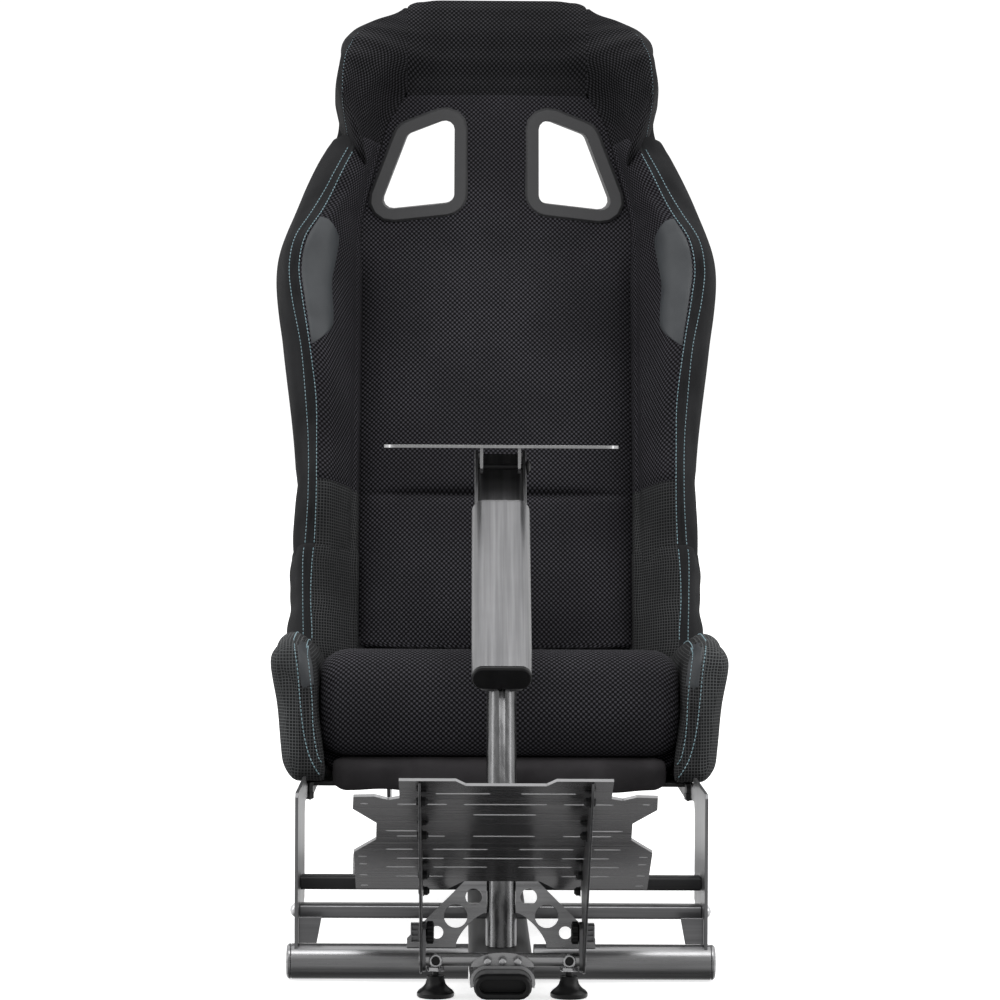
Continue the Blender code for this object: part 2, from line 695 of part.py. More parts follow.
# Pedal carriage
def add_carriage(steel, plastic):
    beam = Vector((0, CARRIAGE_Y - BEAM_NOSE, SPINE_H / 2))
    wall = 2 * SPINE_WALL
    ends = square_ends(beam, Y_AXIS, 0.0, BEAM_LENGTH)
    outer, inner = stadium(BEAM_W, BEAM_H), stadium(BEAM_W - wall, BEAM_H - wall)
    add_piece("pedal_beam", hollow(outer, inner, beam, Y_AXIS, X_AXIS, ends), steel, "carriage")
    plug = stadium(BEAM_W - wall - 2 * GAP, BEAM_H - wall - 2 * GAP)
    steps = [(0.014, plug), (-GAP, plug), (-GAP, outer), (-0.003, outer)]
    steps += [(-0.005, stadium(BEAM_W - 0.004, BEAM_H - 0.004))]
    cap = add_piece("beam_end_cap", stepped(steps, beam, Y_AXIS, X_AXIS), plastic, "carriage")
    recess = stadium(BEAM_W - wall - 2 * GAP - 2 * PLUG_WALL, BEAM_H - wall - 2 * GAP - 2 * PLUG_WALL)
    cut(cap, stepped([(-PLUG_RECESS, recess), (PLUG_RECESS - 0.003, recess)], beam, Y_AXIS, X_AXIS), "carriage")
    clip = add_piece("carriage_clip", beam_clip(), steel, "carriage")
    fuse(clip, clip_face(), "carriage")
    cut(clip, cross_drill(CARRIAGE_PIVOT, FOOT_BAR_D / 2 + GAP), "carriage")
    reach = FIN_X + FIN_T
    ends = square_ends(CARRIAGE_PIVOT, X_AXIS, -reach, reach)
    bar = add_piece("foot_bar", hollow(circle(FOOT_BAR_D / 2), circle(FOOT_BAR_BORE / 2), CARRIAGE_PIVOT,
                                       X_AXIS, Y_AXIS, ends), steel, "carriage")
    stud = FOOT_STUD_D / 2 + PIVOT_GAP
    drills = [turned([(-FOOT_BAR_D, stud), (FOOT_BAR_D, stud)], at_side(CARRIAGE_PIVOT, sign * FOOT_X),
                     Z_AXIS, X_AXIS, 12) for sign in (-1, 1)]
    cut(bar, joined(drills), "carriage")
    for side, sign in SIDES:
        add_tilt_clamp(side, sign, steel, plastic)


def beam_clip():
    """An arch over the beam, with a saddle for the foot bar."""
    reach = (BEAM_W - BEAM_H) / 2
    low, high = BEAM_H / 2 + GAP, BEAM_H / 2 + GAP + CLIP_T
    over = arc((reach, 0), high, -20, 90, 7) + arc((-reach, 0), high, 90, 200, 7)
    under = arc((-reach, 0), low, 200, 90, 7) + arc((reach, 0), low, 90, -20, 7)
    origin = Vector((0, CARRIAGE_Y, SPINE_H / 2))
    return prism(over + under, origin, X_AXIS, Z_AXIS, -CLIP_LENGTH / 2, CLIP_LENGTH / 2)


def clip_face():
    """The clip's arched front, before the foot bar."""
    foot = BEAM_TOP + GAP + CLIP_T / 3
    rise = FOOT_BAR_Z + FOOT_BAR_D / 2 + CLIP_FACE_RISE - foot
    outline = [(CLIP_FACE_W / 2 * a, rise * b) for a, b in arc((0, 0), 1.0, 0, 180, 14)]
    front = FOOT_BAR_D / 2 + GAP
    return prism(outline, Vector((0, CARRIAGE_Y, foot)), X_AXIS, Z_AXIS, front, front + CLIP_T)


def cross_drill(centre, radius):
    """A bore right across the carriage."""
    reach = 2 * FIN_X
    return turned([(-reach, radius), (reach, radius)], centre, X_AXIS, Y_AXIS, 20)


def add_tilt_clamp(side, sign, steel, plastic):
    """An ear on the foot bar, with the knob and the block that clamp the fin to it."""
    axis = sign * X_AXIS
    ear_outer = FIN_X - FIN_T / 2 - GAP
    ear_inner = ear_outer - EAR_T
    low, high = sorted((sign * ear_inner, sign * ear_outer))
    ear = add_piece(f"tilt_ear_{side}", prism(link_outline(EAR_FOOT_R, EAR_HEAD_R, KNOB_RISE), CARRIAGE_PIVOT,
                                              Y_AXIS, Z_AXIS, low, high), steel, "carriage")
    screw = KNOB_SCREW_D / 2
    for centre, radius in ((CARRIAGE_PIVOT, FOOT_BAR_D / 2 + GAP), (KNOB_CENTRE, screw + GAP)):
        cut(ear, cross_drill(centre, radius), "carriage")
    face = ear_inner - GAP
    block_in = FIN_X + FIN_T / 2 + GAP
    rim = circle(KNOB_D / 2 - KNOB_RIDGE - 0.001, 2 * KNOB_RIDGES)
    grip = knurled(KNOB_D / 2, KNOB_RIDGE, KNOB_RIDGES)
    shank = circle(screw, 2 * KNOB_RIDGES)
    steps = [(face - KNOB_T, rim), (face - KNOB_T + 0.001, grip), (face - 0.001, grip), (face, rim)]
    steps += [(face, shank), (block_in + BLOCK_T - 0.001, shank)]
    add_piece(f"clamp_knob_{side}", stepped(steps, KNOB_CENTRE, axis, Y_AXIS), plastic, f"knob_{side}")
    outline = box_outline(BLOCK_LENGTH, BLOCK_HEIGHT, 0.002, 2)
    shape = stepped([(block_in, outline), (block_in + BLOCK_T, outline)], KNOB_CENTRE, axis, Y_AXIS)
    block = add_piece(f"clamp_block_{side}", shape, steel, "carriage")
    cut(block, cross_drill(KNOB_CENTRE, screw + GAP), "carriage")
    tall, deep = BLOCK_POCKET
    pocket = box_outline(BLOCK_T - 2 * BLOCK_WALL, tall, 0.0004, 1)
    middle = at_side(KNOB_CENTRE, sign * (block_in + BLOCK_T / 2))
    pockets = [prism(pocket, middle + k * BLOCK_PITCH * Z_AXIS, X_AXIS, Z_AXIS, BLOCK_LENGTH / 2 - deep,
                     BLOCK_LENGTH) for k in (-1, 0, 1)]
    cut(block, joined(pockets), "carriage")


def add_feet(plastic):
    top = FOOT_BAR_Z + FOOT_BAR_D / 2 - 0.001
    pad = FOOT_PAD_D / 2
    neck, stud = FOOT_NECK_D / 2, FOOT_STUD_D / 2
    shoulder = FOOT_BAR_Z - FOOT_BAR_D / 2 - 0.008
    steps = [(0, pad - 0.001), (0.001, pad), (FOOT_PAD_H * 0.65, pad)]
    for share in (0, 0.15, 0.35, 0.6, 1):
        bell = neck + (pad - 0.0016 - neck) * (1 - share) ** 2
        steps.append((FOOT_PAD_H + share * FOOT_FLARE, bell))
    steps += [(shoulder, neck), (shoulder, stud), (top, stud)]
    for side, sign in SIDES:
        seat = Vector((sign * FOOT_X, CARRIAGE_Y, 0))
        add_piece(f"foot_{side}", turned(steps, seat, Z_AXIS, X_AXIS, 20), plastic, f"foot_{side}")


# Pedal deck: half of the outline and the slots, across the plate and up it from its foot
DECK_HALF = ((0.035, -0.002), (0.050, -0.026), (0.135, -0.026), (0.134, 0.083), (0.1133, 0.119),
             (0.112, 0.165), (0.1317, 0.2025), (0.1304, 0.234), (0.112, 0.2355), (0.1005, 0.2265),
             (0.0909, 0.2315), (0.0909, 0.276), (0.0427, 0.276), (0.0343, 0.264))
SIDE_SLOTS = ((0.2437, 0.013, 0.060), (0.2155, 0.050, 0.093), (0.1435, 0.077, 0.1045), (0.129, 0.052, 0.095),
              (0.0915, 0.081, 0.105), (0.0915, 0.0138, 0.063), (0.0655, 0.053, 0.096), (0.040, 0.079, 0.106),
              (0.040, 0.014, 0.063), (0.0125, 0.054, 0.098), (0.0705, 0.1225, 0.1305), (0.0487, 0.1225, 0.1305),
              (0.0154, 0.123, 0.131), (-0.0154, 0.123, 0.131), (0.2165, 0.118, 0.125))
CENTRE_SLOTS = ((0.2155, 0.036), (0.188, 0.0275), (0.129, 0.0275), (0.0655, 0.036))
FIN_SPAN = (0.010, 0.272)
FIN_HEEL = 0.0128


def add_pedal_deck(steel):
    right_half = list(DECK_HALF)
    left_half = [(-x, s) for x, s in reversed(DECK_HALF)]
    deck = add_piece("pedal_plate", prism(right_half + left_half, DECK_FOOT, X_AXIS, DECK_UP, 0, DECK_T),
                     steel, "pedal_deck")
    slots = [(-half, half, s) for s, half in CENTRE_SLOTS]
    for s, start, end in SIDE_SLOTS:
        slots += [(start, end, s), (-end, -start, s)]
    cuts = []
    for start, end, s in slots:
        slot = [((start + end) / 2 + a, s + b) for a, b in stadium(end - start, SLOT_W, 3)]
        cuts.append(prism(slot, DECK_FOOT, X_AXIS, DECK_UP, -DECK_T, 2 * DECK_T))
    cut(deck, joined(cuts), "pedal_deck")
    for side, sign in SIDES:
        add_fin(side, sign, steel)


def add_fin(side, sign, steel):
    """A web under the pedal plate that turns on the end of the foot bar."""
    under = DECK_FOOT - CARRIAGE_PIVOT - (DECK_T + GAP) * DECK_FACE
    front, rear = (under + s * DECK_UP for s in reversed(FIN_SPAN))
    outline = [(front.y, front.z), (front.y + 0.004, front.z - 0.016)]
    outline += arc((0, 0), FIN_HEEL, 215, 360, 8) + [(rear.y, rear.z)]
    low, high = sorted((sign * (FIN_X - FIN_T / 2), sign * (FIN_X + FIN_T / 2)))
    shape = prism(outline, CARRIAGE_PIVOT, Y_AXIS, Z_AXIS, low, high)
    fin = add_piece(f"fin_{side}", shape, steel, "pedal_deck")
    cut(fin, cross_drill(CARRIAGE_PIVOT, FOOT_BAR_D / 2 + GAP), "pedal_deck")
    half = KNOB_SCREW_D / 2 + PIVOT_GAP
    turn = DECK_TILT + math.degrees(2 * half / KNOB_RISE)
    slot = arc((0, 0), KNOB_RISE + half, 90 - turn, 90 + turn, 8)
    slot += arc((0, 0), KNOB_RISE - half, 90 + turn, 90 - turn, 8)
    cut(fin, prism(slot, CARRIAGE_PIVOT, Y_AXIS, Z_AXIS, low - FIN_T, high + FIN_T), "pedal_deck")


# Seat base
def add_seat_base(black, cloth, leather):
    low, flange = PAN_Z - PAN_FLANGE, SIDE_T
    outline = [(-PAN_HALF, low), (-PAN_HALF + flange, low), (-PAN_HALF + flange, PAN_Z)]
    outline += [(PAN_HALF - flange, PAN_Z), (PAN_HALF - flange, low), (PAN_HALF, low)]
    outline += [(PAN_HALF, PAN_TOP), (-PAN_HALF, PAN_TOP)]
    add_piece("seat_pan", prism(outline, Vector(), X_AXIS, Z_AXIS, -PAN_REAR, -PAN_FRONT), black, "base")
    add_piece("seat_cushion", cushion_form(), cloth, "base")
    add_piece("seat_skirt", skirt_form(), cloth, "base")
    for side, sign in SIDES:
        add_piece(f"base_bolster_{side}", base_bolster_form(sign), leather, "base")
        add_piece(f"hinge_bracket_{side}", hinge_bracket_form(sign), black, "base")


def cushion_form():
    """A crowned pad with a roll at the front, a sewn channel behind it and drawn-in sides."""
    seat = PAN_TOP + GAP
    profile = [(CUSHION_REAR - 0.012, 0), (CUSHION_REAR, 0.045), (CUSHION_REAR - 0.02, CUSHION_SEAT)]
    profile += [(0.12, CUSHION_SEAT), (0.035, CUSHION_SEAT + 0.010), (0.02, CUSHION_SEAT + 0.006)]
    profile += [(0.005, CUSHION_SEAT + 0.022), (CUSHION_FRONT + 0.046, CUSHION_CREST)]
    profile += [(CUSHION_FRONT + 0.012, CUSHION_CREST - 0.02), (CUSHION_FRONT, CUSHION_CREST - 0.06)]
    profile += [(CUSHION_FRONT + 0.012, 0.030), (CUSHION_FRONT + 0.04, 0.0225), (PAN_FRONT + 0.03, 0)]
    curve = spline(profile, 2, closed=True)
    middle = (CUSHION_REAR + CUSHION_FRONT) / 2
    rings = []
    for share in (-1, -0.97, -0.9, -0.75, -0.4, 0, 0.4, 0.75, 0.9, 0.97, 1):
        pull = between([(0.75, 0.0), (0.9, 0.02), (0.97, 0.08), (1.0, 0.20)], abs(share))
        crown = 1.03 - 0.03 * abs(share) ** 2 - pull
        ring = [Vector((share * CUSHION_W / 2, middle + (y - middle) * (1 - pull / 3),
                        seat + max(z, 0) * crown)) for y, z in curve]
        rings.append(ring)
    return skin(rings)


def skirt_form():
    """The strip of cover below the cushion's roll."""
    low, high = PAN_Z - 0.004, PAN_TOP + 0.019
    middle = Vector((0, PAN_FRONT - GAP - SKIRT_T / 2, (low + high) / 2))
    reach = CUSHION_W / 2 - 0.012
    steps = [(-reach, box_outline(SKIRT_T - 0.006, high - low - 0.006, 0.003)),
             (0.006 - reach, box_outline(SKIRT_T, high - low, 0.006)),
             (reach - 0.006, box_outline(SKIRT_T, high - low, 0.006)),
             (reach, box_outline(SKIRT_T - 0.006, high - low - 0.006, 0.003))]
    return stepped(steps, middle, X_AXIS, Y_AXIS)


def base_bolster_form(sign):
    """A side roll that flares towards its top and falls away to the rear."""
    inner = CUSHION_W / 2 + PIVOT_GAP
    foot = PAN_TOP + GAP
    rings = []
    span = BOLSTER_REAR - BOLSTER_FRONT
    for share in (0, 0.02, 0.06, 0.14, 0.3, 0.5, 0.7, 0.86, 0.95, 0.985, 1):
        top = between([(0.0, 0.302), (0.3, 0.308), (1.0, 0.272)], share)
        pull = between([(0.0, 0.16), (0.02, 0.07), (0.06, 0.02), (0.14, 0.0)], share)
        pull += between([(0.86, 0.0), (0.95, 0.03), (0.985, 0.10), (1.0, 0.22)], share)
        height = top - foot
        flare = BOLSTER_FLARE
        loop = [(0.0, 0.0), (0.016, -0.002), (0.030, 0.10), (0.038, 0.35), (0.80 * flare + 0.006, 0.66),
                (flare, 0.86), (0.80 * flare, 0.985), (0.40 * flare, 0.985), (0.0, 0.86), (0.0, 0.45)]
        ring = []
        for x, rise in spline(loop, 2, closed=True):
            out = flare / 2 + (max(x, 0) - flare / 2) * (1 - pull)
            up = 0.5 + (max(rise, 0) - 0.5) * (1 - pull)
            ring.append(Vector((sign * (inner + out), BOLSTER_FRONT + share * span, foot + up * height)))
        rings.append(ring)
    return skin(rings)


def hinge_bracket_form(sign):
    """An upright on the pan's flange that holds the fold bolt."""
    low = PAN_Z - PAN_FLANGE
    axis = (FOLD_PIVOT.y, FOLD_PIVOT.z)
    outline = [(axis[0] - 0.085, low), (axis[0] + 0.006, low)] + arc(axis, HINGE_R, 0, 180, 8)
    outline += [(axis[0] - 0.035, PAN_TOP + 0.03), (axis[0] - 0.085, PAN_TOP)]
    near = PAN_HALF + GAP
    first, second = sorted((sign * near, sign * (near + HINGE_T)))
    return prism(outline, Vector(), Y_AXIS, Z_AXIS, first, second)


# Backrest, in its own frame: across, up the back and out of its face
BACK_OUTLINE = ((BACK_HALF - 0.0205, 0.10), (BACK_HALF - 0.0237, 0.20), (BACK_HALF - 0.0104, 0.343),
                (BACK_HALF, 0.437), (BACK_HALF - 0.023, 0.511), (0.187, 0.613), (0.185, 0.655),
                (0.180, 0.712), (0.160, 0.744), (0.100, 0.767), (0.0, 0.777))
SEAM_WIDE = 0.50
SEAM_NECK = 0.62
INNER_LINE = ((0.0, PAD_HALF), (SEAM_WIDE, PAD_HALF), (SEAM_NECK, NECK_HALF), (HEAD_FOOT, HEAD_HALF),
              (1.0, HEAD_HALF))
SIDE_LINE = tuple((h, x) for x, h in BACK_OUTLINE[:9])


def on_back(x, h, n):
    return BACK_FOOT + x * X_AXIS + h * BACK_UP + n * BACK_FACE


def back_outline(inset, per_span=2):
    """The backrest's edge seen from the front, drawn in by inset, as (across, up)."""
    half = spline([(BACK_HALF - 0.026, SHELL_FOOT)] + list(BACK_OUTLINE), per_span)
    drawn = [(x * (1 - inset / 0.2), SHELL_FOOT + inset + (h - SHELL_FOOT) * (1 - 2 * inset / 0.69))
             for x, h in half]
    return drawn + [(-x, h) for x, h in reversed(drawn[:-1])]


def add_backrest(black, cloth, leather, plastic):
    add_shell(cloth)
    add_hoop(black)
    pad = add_piece("back_pad", back_pad_form(), cloth, "backrest")
    for sign in (-1, 1):
        cut(pad, hole_cutter(sign), "backrest")
    add_piece("headrest_pad", headrest_form(), cloth, "backrest")
    for side, sign in SIDES:
        add_piece(f"back_bolster_{side}", back_bolster_form(sign), leather, "backrest")
        add_piece(f"head_wing_{side}", wing_form(sign), cloth, "backrest")
        add_piece(f"harness_ring_{side}", ring_form(sign), plastic, "backrest")
        add_hinge_ear(side, sign, black)


def add_shell(cloth):
    """The back's tray, with a rim and the harness openings."""
    layers = ((0.012, SHELL_BACK), (0.0, SHELL_BACK + 0.010), (0.0, SHELL_FRONT),
              (SHELL_RIM, SHELL_FRONT), (SHELL_RIM, SHELL_FLOOR))
    rings = [[on_back(x, h, n) for x, h in back_outline(inset)] for inset, n in layers]
    shell = add_piece("back_shell", skin(rings), cloth, "backrest")
    for sign in (-1, 1):
        cut(shell, hole_cutter(sign), "backrest")
    wide = BACK_HALF - 0.048
    low, high = SHELL_FOOT - 0.05, SHELL_FOOT + 0.02
    mouth = [(-wide, low), (wide, low), (wide, high), (-wide, high)]
    cut(shell, prism(mouth, BACK_FOOT, X_AXIS, BACK_UP, SHELL_FLOOR, 0.0), "backrest")


def add_hoop(black):
    """The bent tube that stiffens the back and carries the fold ears."""
    foot = PAN_HALF - PIVOT_GAP - HINGE_T - GAP - HOOP_D / 2
    half = [(foot, HINGE_H), (foot, 0.10), (foot, 0.16)]
    half += [(side_line(h) - inset, h) for h, inset in HOOP_INSETS] + [(HOOP_TOP_HALF, HOOP_TOP)]
    route = half + [(-x, h) for x, h in reversed(half)]
    points = [on_back(x, h, HINGE_N) - FOLD_PIVOT for x, h in spline(route, 3)]
    curve = bpy.data.curves.new("back_frame", "CURVE")
    curve.dimensions = "3D"
    curve.bevel_depth = HOOP_D / 2
    curve.bevel_resolution = 2
    curve.use_fill_caps = True
    strand = curve.splines.new("POLY")
    strand.points.add(len(points) - 1)
    for spot, point in zip(strand.points, points):
        spot.co = (*point, 1)
    curve.materials.append(black)
    hoop = bpy.data.objects.new("back_frame", curve)
    bpy.context.scene.collection.objects.link(hoop)
    hoop.parent = bpy.data.objects["body_backrest"]


def hole_corners(sign, out):
    corners = [(sign * x, h) for x, h in HARNESS_HOLE]
    return widened(corners if sign > 0 else corners[::-1], out)


def belt_way(x, h, n):
    """A point on the belt's way: nearly level through the leaning back."""
    return on_back(x, h - n * math.tan(math.radians(BACK_LEAN + BELT_RISE)), n)


def hole_cutter(sign):
    outline = rounded(hole_corners(sign, RING_WALL + PIVOT_GAP), RING_CORNER + RING_WALL)
    return skin([[belt_way(x, h, n) for x, h in outline] for n in (2 * SHELL_BACK, -SHELL_BACK)])


def ring_form(sign):
    """A harness opening: a sleeve through the back with a lip on the face."""
    inner = rounded(hole_corners(sign, 0.0), RING_CORNER)
    sleeve = rounded(hole_corners(sign, RING_WALL), RING_CORNER + RING_WALL)
    lip = rounded(hole_corners(sign, RING_FLANGE), RING_CORNER + RING_FLANGE)
    lip_edge = rounded(hole_corners(sign, RING_FLANGE - 0.003), RING_CORNER + RING_FLANGE - 0.003)
    face = PIVOT_GAP
    layers = [(inner, SHELL_BACK), (inner, face + RING_LIP), (lip_edge, face + RING_LIP), (lip, face + 0.002)]
    layers += [(lip, face), (sleeve, face), (sleeve, SHELL_BACK)]
    return skin([[belt_way(x, h, n) for x, h in loop] for loop, n in layers], loop=True)


def inner_line(h):
    """The seam between the middle and the side pieces: pieces on it have a section at each of its corners."""
    return along(INNER_LINE, h)


def side_line(h):
    return between(SIDE_LINE, h)


def pad_section(half, h, crown, edge):
    """A closed section of a flat-backed pad: its face swells by crown and rolls off at the edges."""
    back = SHELL_FRONT + GAP
    ring = [on_back(x, h, back) for x in (-half, 0.0, half)]
    for share in (1.0, 0.97, 0.9, 0.7, 0.35, 0.0, -0.35, -0.7, -0.9, -0.97, -1.0):
        roll = between([(0.85, 0.0), (0.97, edge * 0.5), (1.0, edge)], abs(share))
        ring.append(on_back(share * half, h, crown * (1 - share**2) - roll))
    return ring


def back_pad_form():
    """The centre panel, with the sewn crease across it and a flat field round the harness openings."""
    crease = 0.178
    rings = []
    for h in (0.0, 0.008, 0.04, 0.10, 0.155, 0.170, crease, 0.186, 0.201, 0.26, 0.34, 0.42, 0.475, SEAM_WIDE,
              0.56, SEAM_NECK, HEAD_FOOT - PIVOT_GAP):
        crown = between([(0.0, 0.0), (0.05, 0.012), (0.15, 0.012), (0.44, 0.010), (0.475, 0.0)], h)
        crown -= between([(0.0, 0.012), (0.04, 0.0)], h)
        crown -= 0.014 * max(0.0, 1 - abs(h - crease) / 0.016)
        edge = between([(0.0, 0.010), (0.44, 0.010), (0.475, 0.0)], h)
        rings.append(pad_section(inner_line(h) - GAP, h, crown, edge))
    return skin(rings)


def headrest_form():
    rings = []
    for share in (0, 0.05, 0.15, 0.35, 0.6, 0.8, 0.93, 1):
        h = HEAD_FOOT + share * (HEAD_TOP - HEAD_FOOT - 0.004)
        crown = between([(0.0, 0.004), (0.15, 0.020), (0.6, 0.024), (0.93, 0.010), (1.0, -0.010)], share)
        rings.append(pad_section(HEAD_HALF - GAP, h, crown, 0.006))
    return skin(rings)


def roll_section(sign, h, inside, outside, base, crest, lean):
    """A closed section of a side roll: its crest stands out of the face, lean of the way across."""
    back = SHELL_FRONT + GAP
    wide = outside - inside
    loop = [(0.0, back), (0.55, back), (0.95, back), (1.0, base * 0.3 + back * 0.3), (0.97, crest * 0.62)]
    loop += [(lean + 0.12, crest * 0.97), (lean - 0.12, crest), (0.22, base + (crest - base) * 0.62)]
    loop += [(0.0, base)]
    ring = []
    for share, n in spline(loop, 2, closed=True):
        ring.append(on_back(sign * (inside + min(max(share, 0), 1) * wide), h, max(n, back)))
    return ring


def back_bolster_form(sign):
    """The side roll from hip to shoulder."""
    rings = []
    foot = SHELL_FOOT
    for h in (foot, foot + 0.006, foot + 0.02, 0.13, 0.18, 0.24, 0.31, 0.37, 0.437, SEAM_WIDE, 0.53, 0.565,
              0.58, WING_FOOT - PIVOT_GAP):
        crest = between([(foot, 0.010), (foot + 0.02, 0.032), (0.2, 0.062), (0.35, 0.088), (0.44, 0.086),
                         (0.53, 0.058), (0.58, 0.040), (WING_FOOT, 0.026)], h)
        rings.append(roll_section(sign, h, inner_line(h) + GAP, side_line(h), 0.004, crest, 0.66))
    return skin(rings)


def wing_form(sign):
    """The side of the headrest, which curls forward round the driver's head."""
    rings = []
    top = HEAD_TOP - 0.012
    for h in (WING_FOOT, WING_FOOT + 0.006, SEAM_NECK, 0.64, HEAD_FOOT, 0.685, 0.715, top - 0.016,
              top - 0.006, top):
        share = (h - WING_FOOT) / (top - WING_FOOT)
        crest = between([(0.0, 0.040), (0.12, 0.066), (0.46, 0.088), (0.8, 0.080), (0.96, 0.040),
                         (1.0, 0.018)], share)
        outside = side_line(h) - 0.001 - between([(0.8, 0.0), (1.0, 0.026)], share)
        rings.append(roll_section(sign, h, inner_line(h) + GAP, outside, 0.012, crest, 0.72))
    return skin(rings)


def add_hinge_ear(side, sign, black):
    """The plate on the back's tube, with the stub that turns in the pan's upright."""
    outer = PAN_HALF - PIVOT_GAP
    low, high = sorted((sign * outer, sign * (outer - HINGE_T)))
    outline = link_outline(HOOP_D / 2, HOOP_D / 2, HINGE_EAR)
    ear = add_piece(f"hinge_ear_{side}", prism(outline, FOLD_PIVOT, -BACK_FACE, BACK_UP, low, high), black,
                    "backrest")
    stub = turned([(outer - HINGE_T / 2, 0.0045), (outer + PIVOT_GAP + GAP + HINGE_T, 0.0045)], FOLD_PIVOT,
                  sign * X_AXIS, Y_AXIS, 16)
    fuse(ear, stub, "backrest")
    bracket = bpy.data.objects[f"hinge_bracket_{side}"]
    bore = turned([(-0.3, 0.0045 + GAP), (0.3, 0.0045 + GAP)], FOLD_PIVOT, X_AXIS, Y_AXIS, 16)
    cut(bracket, bore, "base")


def main():
    clear_scene()
    add_bodies()
    steel = finish("brushed_steel", (0.32, 0.32, 0.33), 0.38, 0.9)
    black = finish("black_coat", (0.02, 0.02, 0.021), 0.45, 0.1)
    plastic = finish("black_plastic", (0.03, 0.03, 0.031), 0.5, 0.0)
    cloth = finish("black_mesh_cloth", (0.012, 0.012, 0.013), 0.9, 0.0)
    leather = finish("black_side_cloth", (0.014, 0.014, 0.016), 0.8, 0.0)
    add_floor_frame(steel)
    add_side_plates(steel)
    add_cross_bars(steel, black)
    add_gussets(steel)
    add_rear_brackets(steel)
    add_column(steel, plastic)
    add_post(steel, black)
    add_wheel_plate(steel)
    add_carriage(steel, plastic)
    add_feet(plastic)
    add_pedal_deck(steel)
    add_seat_base(black, cloth, leather)
    add_backrest(black, cloth, leather, plastic)


main()
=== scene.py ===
"""Looks of the racing cockpit: upholstery, stitching, brushed steel, fasteners, light and camera.

Metres, +Z up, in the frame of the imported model. The driver faces -Y.
"""

import math

import bmesh
import bpy
from mathutils import Matrix, Vector
from mathutils.bvhtree import BVHTree
from mathutils.kdtree import KDTree


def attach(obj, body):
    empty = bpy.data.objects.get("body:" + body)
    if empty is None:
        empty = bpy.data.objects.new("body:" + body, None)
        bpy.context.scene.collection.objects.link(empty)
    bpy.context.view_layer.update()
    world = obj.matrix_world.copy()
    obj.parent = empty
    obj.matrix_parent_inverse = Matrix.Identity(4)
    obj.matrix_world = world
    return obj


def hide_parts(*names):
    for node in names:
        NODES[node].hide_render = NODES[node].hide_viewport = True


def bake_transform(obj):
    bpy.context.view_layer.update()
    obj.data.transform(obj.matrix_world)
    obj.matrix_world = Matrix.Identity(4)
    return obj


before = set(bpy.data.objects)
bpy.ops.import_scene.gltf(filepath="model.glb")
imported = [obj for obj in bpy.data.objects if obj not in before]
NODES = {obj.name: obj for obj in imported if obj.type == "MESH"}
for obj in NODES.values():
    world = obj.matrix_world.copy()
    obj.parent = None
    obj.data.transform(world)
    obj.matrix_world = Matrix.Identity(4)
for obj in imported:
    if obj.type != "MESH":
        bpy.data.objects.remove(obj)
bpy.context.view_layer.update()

X_AXIS = Vector((1, 0, 0))
Y_AXIS = Vector((0, 1, 0))
Z_AXIS = Vector((0, 0, 1))
SIDES = (("left", -1), ("right", 1))

# Camera: a long lens a little above the wheel plate
CAMERA_PLACE = Vector((-0.041, -3.39, 0.498))
CAMERA_LENS = 120.0
CAMERA_PITCH = 0.945
CAMERA_YAW = 0.70
CAMERA_ROLL = 0.3

# Backrest frame: its foot, lean and the depth of its layers along its own face
BACK_FOOT = Vector((0, 0.3126, 0.27))
BACK_LEAN = math.radians(15.0)
BACK_UP = Vector((0, math.sin(BACK_LEAN), math.cos(BACK_LEAN)))
BACK_FACE = Vector((0, -math.cos(BACK_LEAN), math.sin(BACK_LEAN)))
SHELL_FRONT = -0.0277
SHELL_FOOT = 0.075
BELT_SLOPE = math.tan(BACK_LEAN + math.radians(5.0))

# Half widths of the backrest by height: its edge, and the seam between middle and sides
EDGE_LINE = ((0.075, 0.220), (0.10, 0.2243), (0.20, 0.2203), (0.343, 0.2362), (0.437, 0.248), (0.511, 0.225),
             (0.613, 0.187), (0.655, 0.185), (0.712, 0.180), (0.744, 0.160))
SEAM_LINE = ((0.0, 0.155), (0.50, 0.155), (0.62, 0.126), (0.6585, 0.104), (1.0, 0.104))
HEAD_FOOT = 0.6585
CREASE_H = 0.178
HARNESS_HOLE = ((0.0486, 0.5243), (0.1365, 0.514), (0.103, 0.608), (0.0486, 0.6304))
RING_CORNER = 0.011

# Thread
STITCH_PITCH = 0.0041
STITCH_STEPS = 4
STITCH_RADIUS = 0.00053
STITCH_END = 0.55
THREAD_SIDES = 6


# Curves
def smooth_keys(keys, where):
    """Smooth value of a list of (place, value) keys."""
    if where <= keys[0][0]:
        return keys[0][1]
    for (low, first), (high, second) in zip(keys, keys[1:]):
        if where <= high:
            t = (where - low) / (high - low)
            return first + (second - first) * t * t * (3 - 2 * t)
    return keys[-1][1]


def straight_keys(keys, where):
    """Straight-line value of a list of (place, value) keys."""
    for (low, first), (high, second) in zip(keys, keys[1:]):
        if where <= high:
            return first + (second - first) * (where - low) / (high - low)
    return keys[-1][1]


def spline(points, per_span, closed=False):
    """A Catmull-Rom curve through the points."""
    count = len(points)
    spans = count if closed else count - 1
    sampled = []
    for index in range(spans):
        ids = [index - 1, index, index + 1, index + 2]
        picked = [i % count if closed else min(max(i, 0), count - 1) for i in ids]
        p0, p1, p2, p3 = (Vector(points[i]) for i in picked)
        for k in range(per_span):
            t = k / per_span
            value = 2 * p1 + (p2 - p0) * t
            value += (2 * p0 - 5 * p1 + 4 * p2 - p3) * t**2
            value += (3 * p1 - p0 - 3 * p2 + p3) * t**3
            sampled.append(value / 2)
    if not closed:
        sampled.append(Vector(points[-1]))
    return sampled


